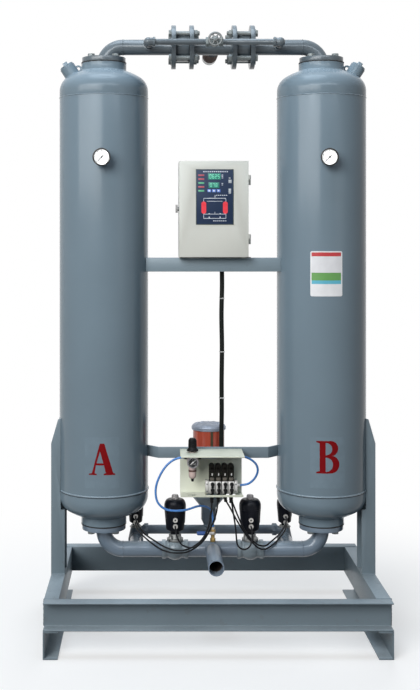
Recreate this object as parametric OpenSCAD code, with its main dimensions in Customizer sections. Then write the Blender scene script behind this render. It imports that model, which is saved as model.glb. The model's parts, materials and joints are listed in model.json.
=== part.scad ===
// Twin-tower heatless desiccant air dryer on a welded channel base.
// Millimetres, +Z up, the front faces -Y, origin at the middle of the base underside.
// Tower A stands on the left, tower B on the right.

/* [Base frame] */
// Length of the base over the end channels
base_length = 1180; // [900:10:1600]
// Depth of the base, front to back
base_depth = 740; // [560:10:1000]
// Height of the rolled channel in the base and the feet
channel_height = 95; // [70:1:140]
// Flange width of the rolled channel
channel_flange = 50; // [40:1:70]
// Wall of the rolled channel
channel_wall = 5; // [4:0.5:8]
// Depth of a post channel, front to back
post_depth = 100; // [80:2:140]
// Height of the post's outer edge above the base
post_edge_rise = 478; // [380:2:600]
// Extra height of the sloping post top where it meets the tower
post_slope_rise = 96; // [60:2:140]
// Gap left for the weld between a frame member and a tower
weld_gap = 0.2; // [0.1:0.1:1]

/* [Towers] */
// Outside diameter of a tower
tower_od = 325; // [250:1:400]
// Plate thickness of a tower
tower_wall = 8; // [5:0.5:14]
// Distance of a tower's axis from the end of the base
tower_inset = 190; // [180:1:260]
// Height of the lower end of the straight shell
shell_low = 472; // [400:2:560]
// Length of the straight shell
shell_length = 1481; // [900:1:1800]
// Crown radius of a dished head
crown_radius = 260; // [220:2:320]
// Knuckle radius of a dished head
knuckle_radius = 60; // [40:1:80]
// Straight flange of a head, from the shell end to its weld
head_straight = 25; // [15:1:40]
// Diameter of the round weld beads
bead_d = 5; // [3:0.5:8]
// Diameter of the flanged neck on a head
neck_od = 165; // [140:1:200]
// Height of a neck face above the pole of its head
neck_rise = 15; // [8:1:40]
// Bore through a neck
neck_bore = 62; // [56:1:80]
// Diameter of a filler neck
filler_od = 57; // [45:1:70]
// Bore of a filler neck
filler_bore = 45; // [36:1:50]
// Length of a filler neck
filler_depth = 40; // [30:1:60]
// Tilt of a filler neck away from upright
filler_tilt = 33; // [20:1:50]
// Distance of the filler face from the tower axis
filler_reach = 136; // [110:1:150]
// Height of the filler face above the pole of the head
filler_rise = 4; // [-20:1:30]
// Width of the square head of a filler plug
plug_square = 18; // [14:1:26]
// Distance of the lifting eye from the tower axis
eye_reach = 94; // [88:1:110]
// Ring diameter of the lifting eye
eye_od = 26; // [20:1:40]
// Thickness of the bed screens
screen_t = 4; // [2:0.5:8]
// Side gap of screens and bed in the shell
bed_gap = 0.3; // [0.1:0.1:1]

/* [Pipes and flanges] */
// Outside diameter of the main pipe
pipe_od = 57; // [48:1:76]
// Wall of the main pipe
pipe_wall = 3.5; // [2.5:0.5:5]
// Bend radius of the elbows
elbow_radius = 70; // [57:1:90]
// Height of the upper pipe axis above the upper neck face
top_pipe_rise = 60; // [50:1:90]
// Height of the lower pipe axis below the lower neck face
low_pipe_drop = 98; // [90:1:130]
// Diameter of a pipe flange
flange_od = 160; // [140:1:185]
// Thickness of a flange on a tower neck
neck_flange_t = 18; // [12:1:24]
// Thickness of a flange in the upper pipe
pipe_flange_t = 16; // [12:1:24]
// Bolt circle of the flanges
bolt_circle = 125; // [110:1:145]
// Bolt diameter
bolt_d = 16; // [12:1:20]
// Clearance hole over a bolt
hole_extra = 2; // [0.5:0.5:3]
// Width across the corners of the bolt heads and nuts
hex_d = 27; // [20:1:34]
// Height of a bolt head
head_h = 10; // [7:0.5:14]
// Height of a nut
nut_h = 13; // [8:0.5:18]
// Thread past a nut
thread_past = 7; // [2:1:12]
// Depth of the tapped holes in a neck
tap_depth = 16; // [12:1:20]
// Gasket thickness
gasket_t = 2; // [1:0.5:4]
// Outside diameter of a gasket, inside the bolts
gasket_od = 106; // [90:1:108]
// Distance of a check valve's middle from the centre line
check_x = 111; // [100:1:150]
// Length of a check valve between its gaskets
check_length = 46; // [36:1:60]
// Diameter of a check valve
check_od = 105; // [90:1:108]
// Travel of a check disc
check_travel = 8; // [4:1:12]
// Reach of the outlet stub behind the upper pipe
outlet_reach = 258; // [160:2:340]
// Outside diameter of the inlet and outlet stubs
stub_od = 56; // [44:0.5:70]
// Reach of the inlet stub in front of the lower pipe
inlet_reach = 245; // [160:5:340]

/* [Purge line and throttle] */
// Outside diameter of the thin purge line on top
regen_od = 21.3; // [17:0.1:27]
// Distance of the purge line in front of the upper pipe
regen_front = 125; // [100:1:150]
// Distance of its elbows from the tower axes
regen_inset = 164; // [130:1:190]
// Diameter of an elbow fitting of the purge line
regen_elbow_od = 33; // [28:1:40]
// Length of the throttle valve body
throttle_length = 62; // [50:1:90]
// Diameter of the handwheel
wheel_d = 52; // [40:1:70]
// Distance of the handwheel in front of the purge line
wheel_front = 62; // [50:1:90]

/* [Valves] */
// Distance of an inlet valve from the centre line
valve_x = 138; // [130:1:170]
// Length of an inlet valve over its collars
valve_length = 96; // [80:1:130]
// Diameter of the collars of an inlet valve
collar_od = 68; // [62:1:80]
// Width of a collar
collar_w = 14; // [8:1:20]
// Diameter of the round body of an inlet valve
bulb_od = 78; // [72:1:90]
// Bore of the seat in an inlet valve
seat_bore = 34; // [26:1:40]
// Bore of the round chamber over the seat
globe_bore = 46; // [40:1:50]
// Height of the bonnet face above the pipe axis
bonnet_low = 32; // [30:1:44]
// Height of an inlet bonnet
bonnet_h = 25; // [16:1:34]
// Diameter of an inlet bonnet
bonnet_od = 60; // [54:1:70]
// Largest diameter of an inlet actuator
actuator_od = 80; // [72:1:100]
// Height of an inlet actuator
actuator_h = 128; // [110:1:150]
// Lift of an inlet valve
valve_lift = 10; // [8:1:20]
// Distance of a purge valve from its tower's axis
purge_inset = 115; // [90:1:140]
// Distance of a purge valve behind the lower pipe
purge_y = 170; // [150:1:200]
// Height of the purge outlet above the lower pipe axis
purge_rise = 28; // [20:1:40]
// Foot diameter of a purge valve body
purge_body_od = 58; // [50:1:70]
// Reach of a purge valve's side outlet
purge_boss = 32; // [28:1:44]
// Top diameter of a purge valve's cone
purge_neck_od = 38; // [34:1:46]
// Diameter of the branch to a purge valve
branch_od = 42.4; // [34:0.1:48]
// Height of a purge bonnet
purge_bonnet_h = 8; // [6:1:16]
// Largest diameter of a purge actuator
purge_act_od = 60; // [52:1:70]
// Height of a purge actuator
purge_act_h = 104; // [90:1:130]
// Lift of a purge valve
purge_lift = 10; // [6:1:14]
// Radial running clearance of stems and pistons
run_gap = 0.1; // [0.05:0.05:0.3]
// Diameter of the air ports on the actuators
port_d = 17; // [12:0.5:22]
// Height of the lower port above the foot of an inlet actuator
port_low = 36; // [22:1:40]
// Height of the lower port above the foot of a purge actuator
purge_port_low = 16; // [14:1:30]
// Spacing of the two air ports
port_pitch = 23; // [20:1:32]

/* [Muffler] */
// Diameter of the exhaust manifold
manifold_od = 33.7; // [26:0.1:48]
// Diameter of the muffler element
muffler_od = 120; // [90:1:150]
// Length of the muffler element
muffler_length = 246; // [160:2:300]
// Height of the muffler's lower plate above the manifold
muffler_rise = 138; // [120:1:200]
// Diameter of the muffler's end plates
muffler_cap_od = 128; // [110:1:160]
// Height of the muffler's cap
muffler_cap_h = 25; // [20:1:50]
// Sideways place of the muffler and its riser
muffler_x = -6; // [-40:1:40]

/* [Crossbars] */
// Height of the upper crossbar's top face
upper_bar_z = 1343; // [1100:1:1500]
// Leg of the upper crossbar's angle section
angle_leg = 50; // [40:1:60]
// Wall of the upper crossbar
angle_wall = 5; // [3:0.5:8]
// Front face of the upper crossbar, in front of the tower axes
upper_bar_front = 52; // [40:1:80]
// Height of the lower crossbar's top edge
lower_bar_z = 655; // [600:1:760]
// Height of the lower crossbar's flat bar
lower_bar_h = 40; // [30:1:60]
// Thickness of the lower crossbar
lower_bar_t = 6; // [4:0.5:10]
// Front face of the lower crossbar, in front of the tower axes
lower_bar_front = 50; // [40:1:80]
// Distance from a tower's axis to the bend of the lower crossbar
lower_bar_inset = 200; // [170:1:220]

/* [Control cabinet] */
// Width of the cabinet
cabinet_w = 250; // [220:1:320]
// Height of the cabinet
cabinet_h = 350; // [300:1:420]
// Front of the closed door, in front of the tower axes
door_front = 92; // [80:1:120]
// Depth of the cabinet with its door
cabinet_depth = 140; // [120:1:200]
// Depth of the door
door_depth = 20; // [14:1:30]
// Sheet thickness
sheet = 1.5; // [1:0.1:2.5]
// Gap round the door
door_gap = 0.5; // [0.3:0.1:1]
// Width of the front panel
panel_w = 136; // [110:1:180]
// Height of the front panel
panel_h = 200; // [160:1:240]
// Height of the panel's lower edge above the cabinet foot
panel_low = 120; // [60:1:140]
// Sideways place of the panel's middle
panel_x = 3; // [-20:1:20]
// Depth of the controller behind the panel
panel_body = 42; // [30:1:60]
// Diameter of the hinge barrels
hinge_d = 9; // [7:0.5:14]
// Length of a hinge barrel
barrel_h = 18; // [12:1:30]
// Distance of a hinge from the cabinet's end
hinge_end = 50; // [30:1:90]
// Height of the door lock above the cabinet foot
lock_z = 178; // [120:1:230]
// Length of the lock's wing
lock_wing = 29; // [20:1:40]

/* [Pressure gauges] */
// Diameter of a tower gauge
gauge_d = 62; // [50:1:80]
// Depth of a tower gauge case
gauge_depth = 26; // [20:1:40]
// Height of the tower gauges
gauge_z = 1700; // [1500:1:1850]
// Reach of the gauge boss on a tower
gauge_boss = 10; // [6:1:20]
// Length of the gauge's square shank
gauge_shank = 10; // [6:1:20]

/* [Pilot set] */
// Left edge of the pilot bracket
bracket_x = -121; // [-140:1:-100]
// Width of the pilot bracket
bracket_w = 224; // [200:1:280]
// Height of the pilot bracket
bracket_h = 158; // [150:1:200]
// Distance of the bracket's top under the crossbar's top edge
bracket_drop = 6; // [0:1:20]
// Depth of the bracket's top shelf
shelf_depth = 150; // [110:1:160]
// Depth of the bracket's bottom shelf
tray_depth = 82; // [70:1:120]
// Front lip of the top shelf
lip_h = 4; // [3:1:16]
// Front lip of the bottom shelf below the regulator
tray_lip = 18; // [10:1:24]
// Front lip of the bottom shelf below the solenoid valves
tray_lip_low = 8; // [5:1:10]
// Sheet of the bracket
bracket_t = 2; // [1.5:0.5:4]
// Sideways place of the filter regulator
regulator_x = -78; // [-95:1:-60]
// Distance of the regulator in front of the bracket's back
regulator_out = 61; // [45:1:80]
// Width of the regulator body
regulator_w = 40; // [34:1:50]
// Height of the regulator body
regulator_h = 44; // [36:1:56]
// Diameter of the regulator's neck through the shelf
regulator_neck = 28; // [20:1:32]
// Height of the regulator knob
knob_h = 50; // [36:1:64]
// Diameter of the filter bowl
bowl_d = 28; // [24:1:40]
// Height of the filter bowl
bowl_h = 43; // [34:1:60]
// Diameter of the pilot gauge
pilot_gauge_d = 38; // [32:1:44]
// Middle of the first solenoid valve
solenoid_x = -8; // [-16:1:4]
// Spacing of the solenoid valves
solenoid_pitch = 23; // [20:0.5:26]
// Width of a solenoid valve
solenoid_w = 22; // [16:0.5:24]
// Height of the solenoid bodies
solenoid_h = 44; // [40:1:60]
// Height of the coils
coil_h = 64; // [50:1:76]
// Height of the solenoid bodies above the bracket's foot
solenoid_low = 8; // [4:1:14]
// Reach of a tube fitting out of its body
fitting_reach = 12; // [8:1:20]
// Distance of the pilot tap in front of the lower pipe
tap_front = 15; // [0:1:40]
// Height of the pilot tap above its boss
tap_h = 53; // [40:1:70]

/* [Hidden] */
$fn = 64;
e = 0.01;
tr = tower_od / 2;
base_top = 2 * channel_height;
hx = base_length / 2;
tx = hx - tower_inset;
hy = base_depth / 2;
shell_top = shell_low + shell_length;
head_rise = crown_radius
    - sqrt(pow(crown_radius - knuckle_radius, 2) - pow(tr - knuckle_radius, 2));
pole_top = shell_top + head_rise;
pole_low = shell_low - head_rise;
face_top = pole_top + neck_rise;
face_low = pole_low - neck_rise;
pipe_id = pipe_od - 2 * pipe_wall;
pipe_z = face_top + top_pipe_rise;
regen_x = tx - regen_inset;
inlet_z = face_low - low_pipe_drop;
flange_top = face_top + gasket_t;
flange_low = face_low - gasket_t;
hole_d = bolt_d + hole_extra;
check_in = check_x - check_length / 2 - gasket_t;
check_out = check_x + check_length / 2 + gasket_t;
bonnet_z = inlet_z + bonnet_low;
act_z = bonnet_z + bonnet_h;
purge_x = tx - purge_inset;
purge_z = inlet_z + purge_rise;
purge_bonnet_z = purge_z + 10;
purge_act_z = purge_bonnet_z + purge_bonnet_h;
stem_d = 12;
piston_d = actuator_od - 24;
purge_stem_d = 9;
purge_piston_d = purge_act_od - 18;
muffler_z = purge_z + muffler_rise;
cab_z = upper_bar_z;
cab_front = -door_front;
cab_back = cab_front + cabinet_depth;
shell_front = cab_front + door_depth;
hinge_x = cabinet_w / 2 + hinge_d / 2 + door_gap;
hinge_pin = hinge_d - 4;
bracket_top = lower_bar_z - bracket_drop;
bracket_z = bracket_top - bracket_h;
back_y = -lower_bar_front - bracket_t;
reg_y = back_y - regulator_out;
reg_z = bracket_top - bracket_t - regulator_h;
port_z = reg_z + regulator_h - 17;
sol_z = bracket_z + solenoid_low;
manifold_y = back_y - 28;
sol_front = manifold_y - 32;
lower_bar_run = tx - lower_bar_inset;
boss_z = inlet_z + pipe_od / 2 + 3;
tap_z = boss_z + tap_h;
lever_z = boss_z + 36;
gauge_back = -tr - gauge_boss - gauge_shank;
gauge_front = gauge_back - gauge_depth;
gland_x = 35;
gland_y = 20;

// Routes of the free tubes and of the cable, chosen by hand
supply_route = [[-102, -113, 630], [-124, -113, 628], [-152, -115, 617], [-180, -118, 590], [-203, -120, 546],
    [-210, -120, 505], [-200, -118, 466], [-166, -112, 441], [-108, -100, 437],
    [-50, -72, 446], [-12, -40, 428], [0, -20, 392], [0, -15, 350]];
feed_route = [[-54, -113, 630], [-8, -114, 631], [40, -115, 634], [85, -113, 635],
    [122, -108, 626], [149, -100, 605], [158, -90, 578], [149, -79, 549],
    [128, -69, 527], [100, -66, 520], [86, -66, 520]];
left_1 = [[-138, -42, 364], [-138, -64, 363], [-137, -83, 355], [-131, -96, 335],
    [-113, -102, 312], [-82, -104, 304], [-53, -107, 317], [-31, -110, 350], [-16, -109, 398],
    [-9, -105, 446], [-8, -102, 478], [-8, -102, 492]];
left_2 = [[-purge_x, 136, 333], [1 - purge_x, 108, 330], [11 - purge_x, 68, 320], [-250, 16, 309],
    [-222, -32, 299], [-186, -62, 284], [-140, -74, 276], [-92, -76, 282], [-46, -76, 312],
    [-16, -78, 356], [8, -84, 420], [15, -88, 476], [15, -88, 492]];
left_3 = [[-purge_x, 136, 356], [1 - purge_x, 106, 352], [11 - purge_x, 66, 339], [-248, 14, 321],
    [-214, -38, 311], [-176, -68, 296], [-136, -82, 288], [-94, -86, 293], [-50, -90, 322],
    [-24, -90, 364], [-10, -88, 426], [-8, -88, 478], [-8, -88, 492]];
right_1 = [[138, -42, 364], [138, -64, 363], [138, -84, 354], [137, -99, 340],
    [134, -107, 326], [129, -111, 313], [120, -113, 304], [107, -114, 300], [94, -113, 304],
    [85, -112, 313], [81, -110, 326], [79, -108, 350], [76, -106, 382], [71, -105, 414],
    [66, -104, 447], [61, -102, 478], [61, -102, 492]];
right_2 = [[purge_x, 136, 333], [purge_x - 1, 108, 330], [purge_x - 11, 68, 320], [250, 16, 309],
    [222, -32, 298], [188, -60, 286], [162, -70, 294], [140, -74, 314], [119, -76, 340],
    [100, -79, 368], [80, -83, 402], [59, -87, 442], [43, -88, 470], [38, -88, 492]];
right_3 = [[purge_x, 136, 356], [purge_x - 1, 106, 352], [purge_x - 11, 66, 339], [248, 14, 322],
    [216, -36, 311], [188, -64, 300], [163, -78, 306], [140, -85, 324], [120, -88, 348],
    [103, -90, 376], [89, -91, 408], [75, -91, 442], [63, -89, 474], [61, -88, 492]];
cable_route = [[35, 20, 1325], [36, 20, 1240], [34, 22, 1130], [36, 25, 1010], [35, 30, 880],
    [36, 38, 770], [35, 43, 690], [35, 44, 640], [35, 38, 610], [35, 23, 586], [35, 2, 573],
    [35, -14, 570], [35, -25, 570]];
cable_end = cable_route[len(cable_route) - 1];
supply_d = 8;
tube_d = 6;
cable_d = 17;

paint = [0.45, 0.52, 0.57];
steel = [0.72, 0.73, 0.74];
black = [0.08, 0.08, 0.09];
cream = [0.84, 0.84, 0.80];

// Small helpers

module both() { children(); mirror([1, 0, 0]) children(); }

module along_x(x0, x1, d) { translate([x0, 0, 0]) rotate([0, 90, 0]) cylinder(d = d, h = x1 - x0); }

module along_y(y0, y1, d) { translate([0, y1, 0]) rotate([90, 0, 0]) cylinder(d = d, h = y1 - y0); }

module at_bolts() { for (a = [45:90:315]) rotate(a) translate([bolt_circle / 2, 0, 0]) children(); }

module tower_space() both() translate([tx, 0, 0]) {
    translate([0, 0, shell_low - 0.75 * knuckle_radius])
        cylinder(r = tr + weld_gap, h = shell_length + knuckle_radius, $fn = 128);
    translate([0, 0, shell_low + head_straight - bead_d])
        cylinder(r = tr + bead_d / 2 + weld_gap, h = 2 * bead_d, $fn = 128);
}

// Channel section in the XY plane: web on the X axis side, flanges along +X
module channel_2d(h, w, t) {
    difference() {
        translate([0, -h / 2]) square([w, h]);
        translate([t, -h / 2 + t]) square([w, h - 2 * t]);
    }
}

// Sweep of a round tube along a route

function unit(v) = v / norm(v);
function between(a, b, c, d, t) = 0.5 * (2 * b + (c - a) * t + (2 * a - 5 * b + 4 * c - d) * t * t
    + (3 * b - a - 3 * c + d) * t * t * t);
function route(p) = concat([for (i = [0:len(p) - 2]) for (k = [0, 0.5])
    between(p[max(i - 1, 0)], p[i], p[i + 1], p[min(i + 2, len(p) - 1)], k)], [p[len(p) - 1]]);
function heading(q, i) = unit(q[min(i + 1, len(q) - 1)] - q[max(i - 1, 0)]);
function carry(u, t) = unit(u - t * (u * t));
function sides(q, i, u) = i == len(q) ? []
    : concat([carry(u, heading(q, i))], sides(q, i + 1, carry(u, heading(q, i))));

module tube(p, d, n = 8) {
    q = route(p);
    m = len(q);
    u = sides(q, 0, [0.31, 0.83, 0.47]);
    polyhedron(
        points = [for (i = [0:m - 1]) for (k = [0:n - 1])
            q[i] + d / 2 * (cos(360 * k / n) * u[i] + sin(360 * k / n) * cross(heading(q, i), u[i]))],
        faces = concat([[for (k = [n - 1:-1:0]) k]], [[for (k = [0:n - 1]) (m - 1) * n + k]],
            [for (i = [0:m - 2]) for (k = [0:n - 1])
                [i * n + k, i * n + (k + 1) % n, (i + 1) * n + (k + 1) % n]],
            [for (i = [0:m - 2]) for (k = [0:n - 1])
                [i * n + k, (i + 1) * n + (k + 1) % n, (i + 1) * n + k]]));
}

// Base frame

module long_beams() color(paint)
    for (s = [-1, 1]) translate([-hx, s * (hy - channel_flange), 1.5 * channel_height])
        rotate([0, 90, 0]) linear_extrude(base_length)
            rotate(s * 90) channel_2d(channel_height, channel_flange, channel_wall);

module side_frames() color(paint) both() {
    translate([hx - channel_flange, hy - channel_flange - weld_gap, 1.5 * channel_height])
        rotate([90, 0, 0]) linear_extrude(base_depth - 2 * channel_flange - 2 * weld_gap)
            channel_2d(channel_height, channel_flange, channel_wall);
    translate([hx, hy, channel_height / 2 - weld_gap / 2])
        rotate([90, 0, 0]) linear_extrude(base_depth) mirror([1, 0, 0])
            channel_2d(channel_height - weld_gap, channel_flange, channel_wall);
    for (y = [-1, 1])
        translate([hx - channel_flange / 2, y * (hy - 2 * channel_flange), channel_height - weld_gap])
            cylinder(d = channel_flange / 2, h = 2 * weld_gap);
}

module post() difference() {
    translate([hx, 0, base_top + weld_gap]) linear_extrude(post_edge_rise + post_slope_rise)
        mirror([1, 0, 0]) channel_2d(post_depth, channel_flange, channel_wall);
    tower_space();
    translate([hx, post_depth, base_top + post_edge_rise]) rotate([90, 0, 0])
        linear_extrude(2 * post_depth) polygon([[1, 0], [0, 0],
            [-channel_flange / 2, post_slope_rise - 9], [-channel_flange, post_slope_rise],
            [-channel_flange, post_slope_rise + 50], [1, post_slope_rise + 50]]);
}

module post_a() color(paint) mirror([1, 0, 0]) post();
module post_b() color(paint) post();

module upper_crossbar() color(paint) difference() {
    translate([-tx, -upper_bar_front, upper_bar_z - angle_leg]) union() {
        cube([2 * tx, angle_wall, angle_leg]);
        translate([0, 0, angle_leg - angle_wall]) cube([2 * tx, angle_leg, angle_wall]);
    }
    tower_space();
}

bar_half = [[lower_bar_run, -lower_bar_front], [lower_bar_run + 60, 60 - lower_bar_front],
    [lower_bar_run + 60, 60 - lower_bar_front + 1.42 * lower_bar_t],
    [lower_bar_run - 0.42 * lower_bar_t, lower_bar_t - lower_bar_front]];

module lower_crossbar() color(paint) difference() {
    translate([0, 0, lower_bar_z - lower_bar_h]) linear_extrude(lower_bar_h)
        polygon(concat(bar_half, [for (k = [3:-1:0]) [-bar_half[k][0], bar_half[k][1]]]));
    tower_space();
}

// Towers

// Half outline of a dished head: knuckle from the shell inwards, then the crown up to the pole
function head_arc(a, crown, knuckle, rise, lean) = concat(
    [for (k = [0:8]) [a - knuckle + knuckle * cos((90 - lean) * k / 8), knuckle * sin((90 - lean) * k / 8)]],
    [for (k = [7:-1:0]) [crown * sin(lean * k / 8), rise - crown + crown * cos(lean * k / 8)]]);

module vessel(inset) rotate(90) rotate_extrude($fn = 128) {
    arc = head_arc(tr - inset, crown_radius - inset, knuckle_radius - inset, head_rise - inset,
        asin((tr - knuckle_radius) / (crown_radius - knuckle_radius)));
    polygon(concat([for (p = arc) [p[0], shell_top + p[1]]],
        [for (k = [len(arc) - 1:-1:0]) [arc[k][0], shell_low - arc[k][1]]]));
}

module filler_place() translate([filler_reach, 0, pole_top + filler_rise])
    rotate([0, filler_tilt, 0]) children();

module tower() difference() {
    union() {
        vessel(0);
        translate([0, 0, pole_top - 20]) cylinder(d = neck_od, h = neck_rise + 20);
        translate([0, 0, face_low]) cylinder(d = neck_od, h = neck_rise + 20);
        for (z = [shell_low + head_straight, shell_top - head_straight]) translate([0, 0, z])
            rotate_extrude($fn = 128) translate([tr, 0]) circle(d = bead_d, $fn = 24);
        filler_place() rotate(77) translate([0, 0, -filler_depth]) cylinder(d = filler_od, h = filler_depth);
        translate([0, 0, gauge_z]) along_y(-tr - gauge_boss, -tr + tower_wall, 22);
        translate([eye_reach, 0, pole_top - 6]) along_y(-4, 4, eye_od);
    }
    vessel(tower_wall);
    translate([0, 0, pole_top - 40]) cylinder(d = neck_bore, h = 80);
    translate([0, 0, pole_low - 40]) cylinder(d = neck_bore, h = 80);
    translate([0, 0, face_top - tap_depth]) at_bolts() cylinder(d = bolt_d + 0.4, h = tap_depth + 1);
    translate([0, 0, face_low - 1]) at_bolts() cylinder(d = bolt_d + 0.4, h = tap_depth + 1);
    filler_place() rotate(77) translate([0, 0, -2 * filler_depth])
        cylinder(d = filler_bore, h = 2 * filler_depth + e);
    translate([0, 0, gauge_z]) along_y(-tr - gauge_boss - 1, -tr + 2 * tower_wall, 8);
    translate([eye_reach, 0, pole_top - 1]) along_y(-5, 5, eye_od / 2);
}

module tower_a() color(paint) translate([-tx, 0, 0]) mirror([1, 0, 0]) tower();
module tower_b() color(paint) translate([tx, 0, 0]) tower();

module desiccant_beds() color([0.93, 0.92, 0.88]) both() translate([tx, 0, shell_low + screen_t])
    cylinder(r = tr - tower_wall - bed_gap, h = shell_length - 2 * screen_t, $fn = 96);

module bed_screens() color(steel) both() for (z = [shell_low, shell_top - screen_t])
    translate([tx, 0, z]) difference() {
        cylinder(r = tr - tower_wall - bed_gap, h = screen_t, $fn = 96);
        for (a = [0:45:315]) rotate(a) translate([tr / 2, 0, -1]) cylinder(d = tr / 6, h = screen_t + 2);
    }

module filler_plugs() color(paint) both() translate([tx, 0, 0]) filler_place() {
    translate([0, 0, -filler_depth * 0.65]) cylinder(d = filler_bore - 0.4, h = filler_depth * 0.65 + e);
    cylinder(d = filler_od - 5, h = 5);
    translate([-plug_square / 2, -plug_square / 2, 4]) cube([plug_square, plug_square, 13]);
}

// Upper pipe

module pipe_flange(x0) translate([0, 0, pipe_z]) difference() {
    along_x(x0, x0 + pipe_flange_t, flange_od);
    rotate([0, 90, 0]) at_bolts() translate([0, 0, x0 - 1]) cylinder(d = hole_d, h = pipe_flange_t + 2);
}

module elbow(d) rotate([90, 0, 0]) rotate_extrude(angle = 90, $fn = 96)
    translate([elbow_radius, 0]) circle(d = d, $fn = 64);

module neck_flange(z0) translate([tx, 0, z0]) difference() {
    cylinder(d = flange_od, h = neck_flange_t);
    translate([0, 0, -1]) at_bolts() cylinder(d = hole_d, h = neck_flange_t + 2);
}

module top_spool() difference() {
    union() {
        neck_flange(flange_top);
        difference() {
            translate([tx - elbow_radius, 0, pipe_z - elbow_radius]) elbow(pipe_od);
            translate([tx, 0, flange_top - 100]) cylinder(d = 2 * neck_od, h = 100);
        }
        translate([0, 0, pipe_z]) along_x(check_out, tx - elbow_radius, pipe_od);
        pipe_flange(check_out);
        translate([regen_x, 0, pipe_z]) along_y(-pipe_od / 2 - 6, 0, regen_od + 9);
    }
    translate([tx - elbow_radius, 0, pipe_z - elbow_radius]) elbow(pipe_id);
    translate([0, 0, pipe_z]) along_x(check_out - 1, tx - elbow_radius, pipe_id);
    translate([regen_x, 0, pipe_z]) along_y(-pipe_od / 2 - 7, 0, regen_od - 5);
}

module top_spool_a() color(paint) mirror([1, 0, 0]) top_spool();
module top_spool_b() color(paint) top_spool();

module outlet_spool() color(paint) difference() {
    union() {
        translate([0, 0, pipe_z]) along_x(-check_in, check_in, pipe_od);
        both() pipe_flange(check_in - pipe_flange_t);
        translate([0, 0, pipe_z]) along_y(0, outlet_reach, stub_od);
    }
    translate([0, 0, pipe_z]) along_x(-check_in - 1, check_in + 1, pipe_id);
    translate([0, 0, pipe_z]) along_y(0, outlet_reach + 1, stub_od - 2 * pipe_wall);
}

check_seat = check_x + check_length / 2 - 8;

module check_valves() color(paint) both() translate([0, 0, pipe_z]) difference() {
    along_x(check_x - check_length / 2, check_x + check_length / 2, check_od);
    along_x(check_seat - 1, check_out, 44);
    along_x(check_x - check_length / 2 + 6, check_seat, 72);
    along_x(check_in, check_seat, 10 + 2 * run_gap);
    for (a = [0:60:300]) rotate([a, 0, 0]) translate([0, 0, 22]) along_x(check_in, check_seat, 14);
}

module check_disc() color(steel) translate([0, 0, pipe_z]) union() {
    along_x(check_seat - 0.4 - 6, check_seat - 0.4, 60);
    along_x(check_x - check_length / 2 + 2, check_seat - 4, 10);
}

module check_disc_a() mirror([1, 0, 0]) check_disc();
module check_disc_b() check_disc();

module header_bolts() color(steel) both() translate([0, 0, pipe_z]) rotate([0, 90, 0]) at_bolts() {
    translate([0, 0, check_in - pipe_flange_t - nut_h - thread_past])
        cylinder(d = bolt_d, h = check_out - check_in + 2 * pipe_flange_t + nut_h + thread_past + 1);
    translate([0, 0, check_in - pipe_flange_t - nut_h]) cylinder(d = hex_d, h = nut_h, $fn = 6);
    translate([0, 0, check_out + pipe_flange_t]) cylinder(d = hex_d, h = head_h, $fn = 6);
}

module gasket() difference() {
    cylinder(d = gasket_od, h = gasket_t);
    translate([0, 0, -1]) cylinder(d = neck_bore, h = gasket_t + 2);
}

module flange_gaskets() color(black) both() {
    translate([tx, 0, face_top]) gasket();
    translate([tx, 0, flange_low]) gasket();
    for (x = [check_in, check_out - gasket_t]) translate([x, 0, pipe_z]) rotate([0, 90, 0]) gasket();
}

module neck_bolt() {
    cylinder(d = hex_d, h = head_h, $fn = 6);
    translate([0, 0, 1 - neck_flange_t - gasket_t - tap_depth])
        cylinder(d = bolt_d, h = neck_flange_t + gasket_t + tap_depth);
}

module neck_bolts() color(steel) both() {
    translate([tx, 0, flange_top + neck_flange_t]) at_bolts() neck_bolt();
    translate([tx, 0, flange_low - neck_flange_t]) mirror([0, 0, 1]) at_bolts() neck_bolt();
}

// Purge line over the top

module regen_pipes() color(paint) both() difference() {
    union() {
        translate([regen_x, 0, pipe_z]) along_y(-regen_front, -pipe_od / 2 - 6, regen_od);
        translate([regen_x, -regen_front, pipe_z]) {
            sphere(d = regen_elbow_od);
            along_y(0, 22, regen_elbow_od - 3);
            along_x(-22, 0, regen_elbow_od - 3);
        }
        translate([0, -regen_front, pipe_z]) along_x(throttle_length / 2, regen_x - 15, regen_od);
    }
    translate([regen_x, 0, pipe_z]) along_y(-regen_front, -pipe_od / 2 - 5, regen_od - 5);
    translate([0, -regen_front, pipe_z]) along_x(throttle_length / 2 - 1, regen_x, regen_od - 5);
}

module throttle_valve() color([0.62, 0.60, 0.52]) translate([0, -regen_front, pipe_z]) difference() {
    union() {
        along_x(-throttle_length / 2, throttle_length / 2, 26);
        both() translate([throttle_length / 2 - 14, 0, 0]) rotate([0, 90, 0])
            cylinder(d = 34, h = 14, $fn = 6);
        along_y(-34, 17, 32);
        translate([0, -40, 0]) rotate([-90, 0, 0]) cylinder(d = 24, h = 12, $fn = 6);
    }
    along_x(-throttle_length / 2 - 1, throttle_length / 2 + 1, 16);
    along_y(-50, 0, 8 + 2 * run_gap);
}

module throttle_handwheel() color(steel) translate([0, -regen_front - wheel_front, pipe_z]) {
    rotate([90, 0, 0]) rotate_extrude($fn = 96) translate([wheel_d / 2 - 4, 0]) circle(d = 8, $fn = 32);
    for (a = [0:60:300]) rotate([0, a, 0]) along_x(5, wheel_d / 2 - 4, 6);
    along_y(-6, 6, 16);
    along_y(0, wheel_front, 8);
}

// Lower pipe

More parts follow.
